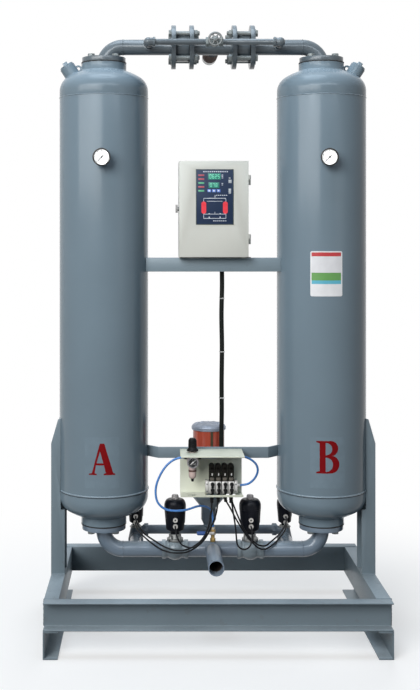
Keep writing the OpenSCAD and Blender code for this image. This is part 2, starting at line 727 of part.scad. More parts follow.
module bottom_spool() difference() {
    union() {
        neck_flange(flange_low - neck_flange_t);
        translate([tx, 0, inlet_z + elbow_radius])
            cylinder(d = pipe_od, h = flange_low - inlet_z - elbow_radius);
        translate([tx - elbow_radius, 0, inlet_z + elbow_radius]) mirror([0, 0, 1]) elbow(pipe_od);
        translate([0, 0, inlet_z]) along_x(valve_x + valve_length / 2, tx - elbow_radius, pipe_od);
        translate([purge_x, 0, inlet_z]) along_y(0, purge_y - purge_body_od / 2 - 4, branch_od);
    }
    translate([tx, 0, inlet_z + elbow_radius]) cylinder(d = pipe_id, h = low_pipe_drop);
    translate([tx - elbow_radius, 0, inlet_z + elbow_radius]) mirror([0, 0, 1]) elbow(pipe_id);
    translate([0, 0, inlet_z]) along_x(valve_x, tx - elbow_radius, pipe_id);
    translate([purge_x, 0, inlet_z]) along_y(0, purge_y, branch_od - 7);
}

module bottom_spool_a() color(paint) mirror([1, 0, 0]) bottom_spool();
module bottom_spool_b() color(paint) bottom_spool();

module inlet_tee() color(paint) translate([0, 0, inlet_z]) difference() {
    union() {
        along_x(-valve_x + valve_length / 2, valve_x - valve_length / 2, pipe_od);
        along_y(-inlet_reach, 0, stub_od);
        translate([0, -tap_front, 0]) cylinder(d = 22, h = pipe_od / 2 + 3);
    }
    along_x(-valve_x, valve_x, pipe_id);
    along_y(-inlet_reach - 1, 0, stub_od - 2 * pipe_wall);
    translate([0, -tap_front, 0]) cylinder(d = 8, h = pipe_od);
}

module inlet_valves() color(paint) both() translate([valve_x, 0, inlet_z]) difference() {
    union() {
        both() along_x(valve_length / 2 - collar_w, valve_length / 2, collar_od);
        along_x(-valve_length / 2 + 1, valve_length / 2 - 1, pipe_od + 4);
        sphere(d = bulb_od, $fn = 96);
        cylinder(d = bonnet_od - 6, h = bonnet_low);
    }
    both() along_x(28, valve_length / 2 + 1, pipe_id);
    translate([-30, -14, 8]) cube([30, 28, 15]);
    translate([0, -14, -20]) cube([30, 28, 17]);
    translate([0, 0, -22]) cylinder(d = globe_bore - 2, h = 20);
    translate([0, 0, -4]) cylinder(d = seat_bore, h = 12);
    translate([0, 0, 6]) cylinder(d = globe_bore, h = bonnet_low);
    translate([0, 0, bonnet_low]) cylinder(d = 2 * bulb_od, h = bulb_od);
}

module purge_valves() color(paint) both() translate([purge_x, purge_y, 0]) difference() {
    union() {
        translate([0, 0, inlet_z - 24]) cylinder(d = purge_body_od, h = 16);
        translate([0, 0, inlet_z - 8])
            cylinder(d1 = purge_body_od, d2 = purge_neck_od, h = purge_bonnet_z - inlet_z + 8);
        translate([0, 0, inlet_z]) along_y(-purge_body_od / 2 - 4, 0, branch_od + 2);
        translate([0, 0, purge_z]) along_x(-purge_boss, 0, manifold_od + 3);
    }
    translate([0, 0, inlet_z]) along_y(-purge_body_od / 2 - 5, 0, branch_od - 7);
    translate([0, 0, inlet_z - 18]) cylinder(d = 32, h = 30);
    translate([0, 0, inlet_z]) cylinder(d = 20, h = 30);
    translate([0, 0, inlet_z + 16]) cylinder(d = 28, h = 80);
    translate([0, 0, purge_z]) along_x(-purge_boss - 1, 0, manifold_od - 8);
    translate([0, 0, purge_bonnet_z]) cylinder(d = purge_body_od, h = 40);
}

// Bonnets, actuators and their stems

module bonnet(d, h, stem) difference() {
    union() {
        cylinder(d = d, h = h / 3);
        cylinder(d = d * 0.6, h = h);
        for (a = [45:90:315]) rotate(a) translate([d * 0.4, 0, 0])
            cylinder(d = d * 0.2, h = h * 0.75, $fn = 6);
    }
    translate([0, 0, -1]) cylinder(d = stem + 2 * run_gap, h = h + 2);
}

module valve_bonnets() color(steel) both() {
    translate([valve_x, 0, bonnet_z]) bonnet(bonnet_od, bonnet_h, stem_d);
    translate([purge_x, purge_y, purge_bonnet_z]) bonnet(46, purge_bonnet_h, purge_stem_d);
}

module housing(d, h, bore, stem, low) difference() {
    rotate_extrude($fn = 96) polygon([[0, 0], [d * 0.22, 0], [d * 0.22, h * 0.05],
        [d * 0.41, h * 0.13], [d * 0.5, h * 0.78], [d * 0.495, h * 0.87],
        [d * 0.46, h * 0.94], [d * 0.39, h * 0.985], [d * 0.3, h], [0, h]]);
    translate([0, 0, h * 0.16]) cylinder(d = bore + 2 * run_gap, h = h * 0.7);
    translate([0, 0, -1]) cylinder(d = stem + 2 * run_gap, h = h + 2);
    for (k = [0, 1]) translate([0, 0, low + k * port_pitch]) along_y(-d, 0, 7);
}

module actuator_housings() color(black) both() {
    translate([valve_x, 0, act_z]) housing(actuator_od, actuator_h, piston_d, stem_d, port_low);
    translate([purge_x, purge_y, purge_act_z])
        housing(purge_act_od, purge_act_h, purge_piston_d, purge_stem_d, purge_port_low);
}

module inlet_stem() color(steel) translate([valve_x, 0, 0]) {
    translate([0, 0, inlet_z + 6.4]) cylinder(d = globe_bore - 4, h = 9);
    translate([0, 0, inlet_z + 14]) cylinder(d = stem_d, h = act_z + actuator_h + 2 - inlet_z - 14);
    translate([0, 0, act_z + actuator_h * 0.16 + 1]) cylinder(d = piston_d, h = 14);
}

module inlet_stem_a() mirror([1, 0, 0]) inlet_stem();
module inlet_stem_b() inlet_stem();

module purge_stem() color(steel) translate([purge_x, purge_y, 0]) {
    translate([0, 0, inlet_z + 16.4]) cylinder(d = 26, h = 6);
    translate([0, 0, inlet_z + 22])
        cylinder(d = purge_stem_d, h = purge_act_z + purge_act_h + 2 - inlet_z - 22);
    translate([0, 0, purge_act_z + purge_act_h * 0.16 + 1]) cylinder(d = purge_piston_d, h = 10);
}

module purge_stem_a() mirror([1, 0, 0]) purge_stem();
module purge_stem_b() purge_stem();

module dome(d, h) rotate_extrude($fn = 64) polygon([[d / 2 - 2.5, 0], [d / 2, 0], [d / 2, h - d / 4],
    [d / 4, h], [0, h], [0, h - 2.5], [d / 4 - 1.2, h - 2.5], [d / 2 - 2.5, h - d / 4 - 1]]);

module indicator_domes() color([0.8, 0.78, 0.78]) both() {
    translate([valve_x, 0, act_z + actuator_h]) dome(28, valve_lift + 5.5);
    translate([purge_x, purge_y, purge_act_z + purge_act_h]) dome(24, purge_lift + 5.5);
}

module port(d, h, low) translate([0, 0, low]) difference() {
    along_y(-d * 0.44 - fitting_reach, -d * 0.44, port_d);
    along_y(-d * 0.44 - fitting_reach - 1, -d * 0.44 + 1, tube_d + 0.4);
    translate([0, 0, -low]) rotate_extrude($fn = 96)
        polygon([[0, h * 0.05], [d * 0.22, h * 0.05], [d * 0.41 + 0.1, h * 0.13],
            [d * 0.5 + 0.1, h * 0.76], [0, h * 0.76]]);
}

module port_fittings() color(steel) both() for (k = [0, 1]) {
    translate([valve_x, 0, act_z]) port(actuator_od, actuator_h, port_low + k * port_pitch);
    translate([purge_x, purge_y, purge_act_z]) port(purge_act_od, purge_act_h, purge_port_low + k * port_pitch);
}

// Exhaust manifold and muffler

module purge_manifold() color(paint) difference() {
    translate([0, purge_y, purge_z]) union() {
        along_x(-purge_x + purge_boss, purge_x - purge_boss, manifold_od);
        both() translate([purge_x - purge_boss - 16, 0, 0]) rotate([0, 90, 0])
            cylinder(d = manifold_od + 13, h = 16, $fn = 8);
        translate([muffler_x, 0, 0]) cylinder(d = manifold_od + 3, h = 18);
        translate([muffler_x, 0, 17]) cylinder(d1 = manifold_od + 3, d2 = pipe_od, h = 23);
        translate([muffler_x, 0, 39]) cylinder(d = pipe_od, h = muffler_rise - 62);
        translate([muffler_x, 0, muffler_rise - 24]) cylinder(d1 = pipe_od, d2 = muffler_cap_od - 4, h = 20);
        translate([muffler_x, 0, muffler_rise - 4 - e]) cylinder(d = muffler_cap_od, h = 4 + e);
    }
    translate([0, purge_y, purge_z]) {
        along_x(-purge_x, purge_x, manifold_od - 7);
        translate([muffler_x, 0, 0]) cylinder(d = manifold_od - 7, h = 41);
        translate([muffler_x, 0, 40]) cylinder(d = pipe_id, h = muffler_rise);
    }
}

module muffler_element() color([0.69, 0.27, 0.20]) translate([muffler_x, purge_y, muffler_z]) difference() {
    cylinder(d = muffler_od, h = muffler_length, $fn = 96);
    translate([0, 0, -1]) cylinder(d = muffler_od - 24, h = muffler_length + 2);
}

module muffler_cap() color(steel) translate([muffler_x, purge_y, muffler_z + muffler_length])
    rotate_extrude($fn = 96) {
        square([muffler_cap_od / 2, muffler_cap_h * 0.5]);
        polygon([[0, 0], [muffler_cap_od / 2, muffler_cap_h * 0.5 - e],
            [muffler_cap_od * 0.46, muffler_cap_h * 0.72], [muffler_cap_od * 0.36, muffler_cap_h * 0.9],
            [muffler_cap_od * 0.2, muffler_cap_h], [0, muffler_cap_h]]);
        for (k = [0.12, 0.3]) translate([muffler_cap_od / 2, muffler_cap_h * k]) circle(d = 4, $fn = 24);
    }

// Pressure gauges

module gauge_case(d, depth) difference() {
    union() {
        along_y(-depth, 0, d);
        along_y(-depth, 4 - depth, d + 2);
    }
    along_y(-depth - 1, 9 - depth, d - 6);
    along_y(-depth, 13 - depth, 2 + 2 * run_gap);
}

module gauge_glass(d, depth) along_y(-depth + 0.5, 2.5 - depth, d - 6.4);

module gauge_pointer(d, depth) color(black) {
    along_y(4 - depth, 7 - depth, 7);
    along_y(5 - depth, 12 - depth, 2);
    translate([0, 6.5 - depth, 0]) rotate([90, 0, 0]) linear_extrude(1)
        rotate(225) polygon([[-d * 0.14, -1.6], [0, -1.4], [d * 0.36, -0.4], [d * 0.36, 0.4],
            [0, 1.4], [-d * 0.14, 1.6]]);
}

module pilot_gauge_place() translate([regulator_x, reg_y - regulator_w / 2 - 5, reg_z + 16]) children();

module gauge_cases() color(black) {
    both() translate([tx, gauge_back, gauge_z]) {
        gauge_case(gauge_d, gauge_depth);
        translate([-7, -1, -7]) cube([14, gauge_shank + 1, 14]);
    }
    pilot_gauge_place() {
        gauge_case(pilot_gauge_d, 20);
        along_y(-1, 5, 12);
    }
}

module gauge_glasses() color([0.9, 0.93, 0.95, 0.4]) {
    both() translate([tx, gauge_back, gauge_z]) gauge_glass(gauge_d, gauge_depth);
    pilot_gauge_place() gauge_glass(pilot_gauge_d, 20);
}

module gauge_pointer_a() translate([-tx, gauge_back, gauge_z]) gauge_pointer(gauge_d, gauge_depth);
module gauge_pointer_b() translate([tx, gauge_back, gauge_z]) gauge_pointer(gauge_d, gauge_depth);
module pilot_pointer() pilot_gauge_place() gauge_pointer(pilot_gauge_d, 20);

// Control cabinet

module at_hinges() for (z = [cab_z + hinge_end, cab_z + cabinet_h - hinge_end - 2 * barrel_h])
    translate([hinge_x, shell_front, z]) children();

// Hinge leaf from the side sheet to the barrel, behind (1) or in front of (-1) the pin
module hinge_leaf(way) translate([cabinet_w / 2 - hinge_x - e, way > 0 ? door_gap : -2 * hinge_d, 0])
    cube([hinge_x - cabinet_w / 2, 2 * hinge_d - door_gap, barrel_h]);

module control_cabinet() color(cream) difference() {
    union() {
        at_hinges() {
            cylinder(d = hinge_d, h = barrel_h);
            hinge_leaf(1);
            cylinder(d = hinge_pin, h = 2 * barrel_h);
        }
        difference() {
            translate([-cabinet_w / 2, shell_front + door_gap, cab_z])
                cube([cabinet_w, cab_back - shell_front - door_gap, cabinet_h]);
            translate([-cabinet_w / 2 + sheet, shell_front - 1, cab_z + sheet])
                cube([cabinet_w - 2 * sheet, cab_back - shell_front + 1 - sheet, cabinet_h - 2 * sheet]);
        }
        translate([gland_x, gland_y, cab_z - 18]) cylinder(d = cable_d + 9, h = 18 + sheet);
    }
    translate([gland_x, gland_y, cab_z - 17]) cylinder(d = cable_d - 3, h = 30);
}

module cabinet_door() color(cream) difference() {
    union() {
        translate([-cabinet_w / 2, cab_front, cab_z + door_gap])
            cube([cabinet_w, door_depth, cabinet_h - door_gap]);
        at_hinges() translate([0, 0, barrel_h + door_gap]) {
            cylinder(d = hinge_d, h = barrel_h - door_gap);
            hinge_leaf(-1);
        }
    }
    at_hinges() cylinder(d = hinge_pin + 2 * run_gap, h = 3 * barrel_h);
    translate([-cabinet_w / 2 + sheet, cab_front + sheet, cab_z + door_gap + sheet])
        cube([cabinet_w - 2 * sheet, door_depth, cabinet_h - door_gap - 2 * sheet]);
    translate([panel_x - panel_w / 2 + 4, cab_front - 1, cab_z + panel_low + 4])
        cube([panel_w - 8, 10, panel_h - 8]);
    translate([-cabinet_w / 2 - 1, cab_front + door_depth / 2, cab_z + lock_z])
        rotate([0, 90, 0]) cylinder(d = 8 + 2 * run_gap, h = 5);
}

module display_panel() color([0.12, 0.2, 0.45]) translate([panel_x, cab_front, cab_z + panel_low]) {
    translate([-panel_w / 2, -1.5, 0]) cube([panel_w, 1.5, panel_h]);
    translate([-panel_w / 2 + 4.3, -1, 4.3]) cube([panel_w - 8.6, panel_body, panel_h - 8.6]);
}

module door_lock() color(steel) translate([-cabinet_w / 2, cab_front + door_depth / 2, cab_z + lock_z]) {
    along_x(-6, -0.4, 16);
    along_x(-6, 6, 8);
    translate([-13, -4, -lock_wing / 2]) cube([8, 8, lock_wing]);
    translate([4, -4, -4]) cube([2, 16, 8]);
}

// Pilot set

module pilot_bracket() color(cream) difference() {
    translate([bracket_x, 0, 0]) union() {
        translate([0, back_y, bracket_z]) cube([bracket_w, bracket_t, bracket_h]);
        translate([0, back_y - shelf_depth + bracket_t, bracket_top - bracket_t])
            cube([bracket_w, shelf_depth, bracket_t]);
        translate([0, back_y - shelf_depth + bracket_t, bracket_top - lip_h])
            cube([bracket_w, bracket_t, lip_h]);
        translate([0, back_y - tray_depth + bracket_t, bracket_z]) cube([bracket_w, tray_depth, bracket_t]);
        translate([0, back_y - tray_depth + bracket_t, bracket_z]) cube([bracket_w, bracket_t, tray_lip_low]);
        translate([0, back_y - tray_depth + bracket_t, bracket_z])
            cube([solenoid_x - solenoid_w - bracket_x - 4, bracket_t, tray_lip]);
        translate([gland_x - bracket_x, 0, cable_end[2]]) along_y(back_y, cable_end[1] - door_gap, cable_d + 9);
    }
    translate([regulator_x, reg_y, bracket_top - 5]) cylinder(d = regulator_neck + 1, h = 10);
    translate([regulator_x - 14, back_y - tray_depth + 22, bracket_z - 1]) cube([26, 9, 10]);
    translate([regulator_x - 16, back_y - tray_depth, bracket_z + 5]) cube([26, 2 * bracket_t + 1, 6]);
    translate([solenoid_x - 16, sol_front - 3, bracket_z - 1])
        cube([3 * solenoid_pitch + 32, 36, bracket_t + 2]);
    translate([gland_x, 0, cable_end[2]]) along_y(-80, cable_end[1] - 2, cable_d - 3);
}

module filter_regulator() color([0.75, 0.68, 0.66]) translate([regulator_x, reg_y, 0]) difference() {
    union() {
        translate([-regulator_w / 2, -regulator_w / 2, reg_z])
            cube([regulator_w, regulator_w, regulator_h]);
        translate([0, 0, reg_z]) cylinder(d = regulator_neck, h = regulator_h + bracket_t + 4);
        translate([0, 0, reg_z - bowl_h]) cylinder(d = bowl_d, h = bowl_h + 1);
        translate([0, 0, reg_z - bowl_h - 6]) cylinder(d1 = bowl_d - 14, d2 = bowl_d, h = 6);
        translate([0, 0, reg_z - bowl_h - 16]) cylinder(d = 10, h = 12);
        translate([0, 0, port_z]) along_x(-regulator_w / 2 - fitting_reach, regulator_w / 2 + fitting_reach, 15);
    }
    translate([0, 0, port_z]) {
        along_x(-60, -regulator_w / 2 - 1, supply_d + 0.4);
        along_x(regulator_w / 2 + 1, 60, supply_d + 0.4);
    }
    translate([0, 0, reg_z + 16]) along_y(-40, -regulator_w / 2 + 2, 12.4);
    translate([0, 0, reg_z + regulator_h - 10]) cylinder(d = 10 + 2 * run_gap, h = 30);
}

module regulator_knob() color(black) translate([regulator_x, reg_y, bracket_top + 4.4]) {
    rotate_extrude($fn = 64) polygon([[0, 0], [21, 0], [21, 5], [16, 9], [14.5, 13], [13.5, knob_h - 6],
        [11, knob_h - 4.4], [0, knob_h - 4.4]]);
    translate([0, 0, -12]) cylinder(d = 10, h = 13);
}

module solenoid_manifold() color(steel) {
    w = 3 * solenoid_pitch + solenoid_w;
    translate([solenoid_x - solenoid_w / 2 - 12, manifold_y, sol_z]) difference() {
        union() {
            cube([w + 24, back_y - manifold_y, 40]);
            for (x = [0, w + 12.3]) translate([x, -26, 0]) cube([11.7, 27, 40]);
            translate([w + 24, 14, 21]) along_x(-1, 11, 15);
        }
        translate([w + 24, 14, 21]) along_x(-2, 12, supply_d + 0.4);
    }
}

module solenoid_valves() color(black) for (k = [0:3])
    translate([solenoid_x + k * solenoid_pitch, 0, sol_z]) difference() {
        union() {
            translate([-solenoid_w / 2 + 0.3, sol_front, 0])
                cube([solenoid_w - 0.6, manifold_y - sol_front, solenoid_h]);
            translate([-solenoid_w / 2 + 0.8, sol_front + 2, solenoid_h - 1])
                cube([solenoid_w - 1.6, 28, coil_h - 7]);
            translate([0, sol_front + 16, solenoid_h + coil_h - 12]) along_y(-14, 14, solenoid_w - 1.6);
            for (y = [10, 24]) translate([0, sol_front + y, -fitting_reach]) cylinder(d = 11, h = fitting_reach + 1);
        }
        for (y = [10, 24]) translate([0, sol_front + y, -fitting_reach - 1])
            cylinder(d = tube_d + 0.4, h = fitting_reach + 1);
    }

module pilot_tap() color([0.75, 0.60, 0.32]) translate([0, -tap_front, boss_z]) difference() {
    union() {
        cylinder(d = 20, h = 12, $fn = 6);
        cylinder(d = 14, h = tap_h);
        translate([0, 0, 24]) cylinder(d = 20, h = 20, $fn = 6);
        translate([0, 0, tap_h - 9]) cylinder(d = 15, h = 9);
        translate([0, 0, lever_z - boss_z]) along_y(-14, 0, 11);
    }
    translate([0, 0, tap_h - 8]) cylinder(d = supply_d + 0.4, h = 9);
    translate([0, 0, -1]) cylinder(d = 7, h = tap_h);
    translate([0, 0, lever_z - boss_z]) along_y(-15, -4, 5 + 2 * run_gap);
}

module tap_lever() color([0.1, 0.25, 0.6]) translate([0, -tap_front, lever_z]) {
    along_y(-27, -5, 5);
    translate([-26, -25.5, -5]) cube([31, 3, 10]);
    translate([0, -24, 0]) along_x(-60, -22, 15);
}

// Free tubes and cable

module cable_bundle() color(black) tube(cable_route, cable_d, 10);
module supply_tube() color([0.2, 0.43, 0.75]) tube(supply_route, supply_d);
module feed_tube() color([0.2, 0.43, 0.75]) tube(feed_route, supply_d);
module control_tubes_left() color(black) { tube(left_1, tube_d); tube(left_2, tube_d); tube(left_3, tube_d); }
module control_tubes_right() color(black) { tube(right_1, tube_d); tube(right_2, tube_d); tube(right_3, tube_d); }

long_beams();
side_frames();
post_a();
post_b();
upper_crossbar();
lower_crossbar();
tower_a();
tower_b();
desiccant_beds();
bed_screens();
filler_plugs();
top_spool_a();
top_spool_b();
outlet_spool();
check_valves();
check_disc_a();
check_disc_b();
header_bolts();
flange_gaskets();
neck_bolts();
regen_pipes();
throttle_valve();
throttle_handwheel();
bottom_spool_a();
bottom_spool_b();
inlet_tee();
inlet_valves();
purge_valves();
valve_bonnets();
actuator_housings();
inlet_stem_a();
inlet_stem_b();
purge_stem_a();
purge_stem_b();
indicator_domes();
port_fittings();
purge_manifold();
muffler_element();
muffler_cap();
gauge_cases();
gauge_glasses();
gauge_pointer_a();
gauge_pointer_b();
pilot_pointer();
control_cabinet();
cabinet_door();
display_panel();
door_lock();
pilot_bracket();
filter_regulator();
regulator_knob();
solenoid_manifold();
solenoid_valves();
pilot_tap();
tap_lever();
cable_bundle();
supply_tube();
feed_tube();
control_tubes_left();
control_tubes_right();
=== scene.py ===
import json
import math
import random

import bpy
from mathutils import Matrix, Vector


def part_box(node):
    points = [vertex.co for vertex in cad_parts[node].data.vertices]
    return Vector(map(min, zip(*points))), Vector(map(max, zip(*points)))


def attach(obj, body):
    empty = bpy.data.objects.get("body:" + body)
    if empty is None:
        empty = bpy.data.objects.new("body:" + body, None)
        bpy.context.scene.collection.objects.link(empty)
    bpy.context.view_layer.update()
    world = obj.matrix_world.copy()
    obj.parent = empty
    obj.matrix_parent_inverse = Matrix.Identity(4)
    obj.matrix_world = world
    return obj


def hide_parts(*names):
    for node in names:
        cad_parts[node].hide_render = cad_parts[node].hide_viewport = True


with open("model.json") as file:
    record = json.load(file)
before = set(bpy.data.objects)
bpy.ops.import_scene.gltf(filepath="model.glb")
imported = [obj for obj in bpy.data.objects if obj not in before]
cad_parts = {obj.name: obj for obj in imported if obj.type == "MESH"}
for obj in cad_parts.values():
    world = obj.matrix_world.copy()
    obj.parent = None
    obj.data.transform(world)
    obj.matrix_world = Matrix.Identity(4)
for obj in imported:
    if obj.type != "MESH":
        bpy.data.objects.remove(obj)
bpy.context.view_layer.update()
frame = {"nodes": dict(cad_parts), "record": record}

random.seed(11)

# Studio: a level camera straight in front, set left of the middle and shifted back, over a pale
# floor that runs into a white surround. Soft lamps light the object; a window and a strip only shine in it.
LENS_PIXELS = 1141
LONG_SIDE = 690
camera = bpy.data.cameras.new("camera")
camera.lens = 36 * LENS_PIXELS / LONG_SIDE
camera.shift_x = (210 - 152) / LONG_SIDE
camera.shift_y = -(345 - 232) / LONG_SIDE
camera.clip_end = 60
camera_stand = bpy.data.objects.new("camera", camera)
camera_stand.location = (-0.223, -4.2, 1.437)
camera_stand.rotation_euler = (math.radians(90), 0, 0)
bpy.context.scene.collection.objects.link(camera_stand)
bpy.context.scene.camera = camera_stand
bpy.context.scene.view_settings.view_transform = "Standard"


def link_nodes(tree, *pairs):
    """Joins node sockets, each given as (from socket, to socket)."""
    for source, target in pairs:
        tree.links.new(source, target)


def white_for_camera(tree, dim, white, output):
    """Shows white to camera, glossy and transmission rays, and dim to the light that falls on the object."""
    path = tree.nodes.new("ShaderNodeLightPath")
    seen = tree.nodes.new("ShaderNodeMath")
    seen.operation = "MAXIMUM"
    seen_or_through = tree.nodes.new("ShaderNodeMath")
    seen_or_through.operation = "MAXIMUM"
    choice = tree.nodes.new("ShaderNodeMixShader")
    link_nodes(tree, (path.outputs["Is Camera Ray"], seen.inputs[0]),
               (path.outputs["Is Glossy Ray"], seen.inputs[1]),
               (seen.outputs[0], seen_or_through.inputs[0]),
               (path.outputs["Is Transmission Ray"], seen_or_through.inputs[1]),
               (seen_or_through.outputs[0], choice.inputs[0]),
               (dim.outputs[0], choice.inputs[1]), (white.outputs[0], choice.inputs[2]),
               (choice.outputs[0], output.inputs["Surface"]))


world = bpy.data.worlds.new("studio")
bpy.context.scene.world = world
world.use_nodes = True
sky = world.node_tree
sky.nodes.clear()
fill_light = sky.nodes.new("ShaderNodeBackground")
fill_light.inputs["Color"].default_value = (0.88, 0.94, 1.0, 1)
fill_light.inputs["Strength"].default_value = 0.14
surround = sky.nodes.new("ShaderNodeBackground")
surround.inputs["Color"].default_value = (1, 1, 1, 1)
surround.inputs["Strength"].default_value = 1.0
white_for_camera(sky, fill_light, surround, sky.nodes.new("ShaderNodeOutputWorld"))

FLOOR_NEAR, FLOOR_FAR = 0.55, 1.9
bpy.ops.object.select_all(action="DESELECT")
bpy.ops.mesh.primitive_plane_add(size=60, location=(0, 0, 0))
floor = bpy.context.object
floor.name = "studio_floor"
floor_paint = bpy.data.materials.new("pale_floor")
floor_paint.use_nodes = True
ground = floor_paint.node_tree
floor_shader = ground.nodes["Principled BSDF"]
floor_shader.inputs["Base Color"].default_value = (0.93, 0.93, 0.93, 1)
floor_shader.inputs["Roughness"].default_value = 0.9
floor_shader.inputs["Specular IOR Level"].default_value = 0.0
floor_bounce = ground.nodes.new("ShaderNodeBsdfDiffuse")
floor_bounce.inputs["Color"].default_value = (0.10, 0.10, 0.10, 1)
floor_white = ground.nodes.new("ShaderNodeEmission")
floor_white.inputs["Strength"].default_value = 1.0
floor_reach = ground.nodes.new("ShaderNodeVectorMath")
floor_reach.operation = "LENGTH"
floor_fade = ground.nodes.new("ShaderNodeMapRange")
floor_fade.interpolation_type = "SMOOTHSTEP"
for socket, value in (("From Min", FLOOR_NEAR), ("From Max", FLOOR_FAR), ("To Min", 0.45), ("To Max", 1.0)):
    floor_fade.inputs[socket].default_value = value
floor_seen = ground.nodes.new("ShaderNodeMixShader")
link_nodes(ground, (ground.nodes.new("ShaderNodeTexCoord").outputs["Object"], floor_reach.inputs[0]),
           (floor_reach.outputs["Value"], floor_fade.inputs["Value"]),
           (floor_fade.outputs["Result"], floor_seen.inputs[0]),
           (floor_shader.outputs[0], floor_seen.inputs[1]), (floor_white.outputs[0], floor_seen.inputs[2]))
white_for_camera(ground, floor_bounce, floor_seen, ground.nodes["Material Output"])
floor.data.materials.append(floor_paint)

LAMPS = {
    "key_left": ((-3.9, -7.1, 4.6), (0, 0, 1.1), 5.6, 0, 745, (1.0, 0.985, 0.965), "diffuse"),
    "fill_right": ((3.6, -3.8, 2.0), (0, 0, 1.1), 2.2, 0, 9, (0.95, 0.98, 1.0), "both"),
    "top": ((-0.4, -0.4, 4.8), (0, 0, 1.0), 2.4, 0, 84, (0.74, 0.87, 1.0), "both"),
    "window": ((-2.7, -3.6, 2.9), (0, 0, 1.9), 5.2, 1.6, 165, (1.0, 0.98, 0.96), "glossy"),
    "strip": ((0.2, -4.0, 3.7), (0, 0, 1.0), 6.0, 0.7, 92, (0.86, 0.93, 1.0), "glossy"),
    "rear": ((1.0, 4.6, 2.8), (0, 0, 1.0), 2.6, 0, 120, (0.95, 0.98, 1.0), "diffuse"),
}
for lamp_name, (place, aim, width, height, power, tint, reach) in LAMPS.items():
    lamp = bpy.data.lights.new(lamp_name, "AREA")
    lamp.shape = "RECTANGLE" if height else "DISK"
    lamp.size = width
    lamp.size_y = height or width
    lamp.energy = power
    lamp.color = tint
    stand = bpy.data.objects.new(lamp_name, lamp)
    stand.location = place
    stand.rotation_euler = (Vector(aim) - Vector(place)).to_track_quat("-Z", "Y").to_euler()
    stand.visible_diffuse = reach != "glossy"
    stand.visible_glossy = reach != "diffuse"
    bpy.context.scene.collection.objects.link(stand)

# Base frame: rolled steel channel, mitred and stick welded, with foot channels under both ends and
# two posts that carry the towers. All of it is sprayed with one grey-blue enamel, drawn in darker and lighter
# copies as painted shade and painted light.
BASE_ENAMEL = (0.150, 0.196, 0.228)
ROLLED_EDGE = 0.0022
BEAM_FLANGE = 0.05
BEAD = 0.0032
SIDES = ((-1, "a"), (1, "b"))


def effect_group(name, inputs, outputs):
    """An empty shader node group with its sockets, and its input and output nodes."""
    group = bpy.data.node_groups.new(name, "ShaderNodeTree")
    for socket, kind, value in inputs:
        group.interface.new_socket(socket, in_out="INPUT", socket_type=kind).default_value = value
    for socket, kind in outputs:
        group.interface.new_socket(socket, in_out="OUTPUT", socket_type=kind)
    return group, group.nodes.new("NodeGroupInput"), group.nodes.new("NodeGroupOutput")


def noise_node(tree, scale, detail, vector):
    """A noise texture on the given coordinates."""
    node = tree.nodes.new("ShaderNodeTexNoise")
    node.inputs["Scale"].default_value = scale
    node.inputs["Detail"].default_value = detail
    tree.links.new(vector, node.inputs["Vector"])
    return node.outputs["Fac"]


def math_node(tree, operation, *values):
    """A math node; each value is a number or a socket."""
    node = tree.nodes.new("ShaderNodeMath")
    node.operation = operation
    for slot, value in zip(node.inputs, values):
        if isinstance(value, (int, float)):
            slot.default_value = value
        else:
            tree.links.new(value, slot)
    return node.outputs[0]


def tinted(tree, colour, brightness):
    """The colour made lighter or darker by a brightness that changes over the surface."""
    node = tree.nodes.new("ShaderNodeHueSaturation")
    link_nodes(tree, (colour, node.inputs["Color"]), (brightness, node.inputs["Value"]))
    return node.outputs["Color"]


def mixed(tree, mask, first, second):
    """Two colours mixed by a mask; the second may be a plain colour."""
    node = tree.nodes.new("ShaderNodeMix")
    node.data_type = "RGBA"
    link_nodes(tree, (mask, node.inputs[0]), (first, node.inputs[6]))
    if isinstance(second, tuple):
        node.inputs[7].default_value = (*second, 1)
    else:
        tree.links.new(second, node.inputs[7])
    return node.outputs[2]


FLOAT, COLOUR = "NodeSocketFloat", "NodeSocketColor"
SURFACE = (("Colour", COLOUR), ("Roughness", FLOAT), ("Height", FLOAT))

# Sprayed enamel: broad clouds in the colour, fine orange peel, and on what faces up a pale tint of thin dust
# and painted sky reflection.
enamel, enamel_in, enamel_out = effect_group("sprayed enamel", (
    ("Colour", COLOUR, (0.5, 0.5, 0.5, 1)), ("Cloud", FLOAT, 0.1), ("Gloss", FLOAT, 0.4),
    ("Dust and sky sheen", FLOAT, 0.2), ("Chips", FLOAT, 0.0)), SURFACE)
enamel_at = enamel.nodes.new("ShaderNodeTexCoord").outputs["Object"]
cloud = noise_node(enamel, 5, 5, enamel_at)
speck = noise_node(enamel, 160, 3, enamel_at)
peel = noise_node(enamel, 620, 2, enamel_at)
cloud_value = math_node(enamel, "MULTIPLY_ADD", math_node(enamel, "SUBTRACT", cloud, 0.5),
                        enamel_in.outputs["Cloud"], 1.0)
facing = enamel.nodes.new("ShaderNodeSeparateXYZ")
enamel.links.new(enamel.nodes.new("ShaderNodeTexCoord").outputs["Normal"], facing.inputs[0])
# The pale bluish tint on upward faces is partly thin dust and partly a painted sky reflection on the tops.
upward = math_node(enamel, "POWER", math_node(enamel, "MAXIMUM", facing.outputs["Z"], 0.0), 3.0)
dust_and_sky_sheen = math_node(enamel, "MULTIPLY", math_node(enamel, "MULTIPLY", upward, enamel_in.outputs["Dust and sky sheen"]),
                 math_node(enamel, "ADD", cloud, math_node(enamel, "MULTIPLY", speck, 0.6)))
chip = math_node(enamel, "MULTIPLY", enamel_in.outputs["Chips"], math_node(
    enamel, "LESS_THAN", 0.665, noise_node(enamel, 30, 7, enamel_at)))
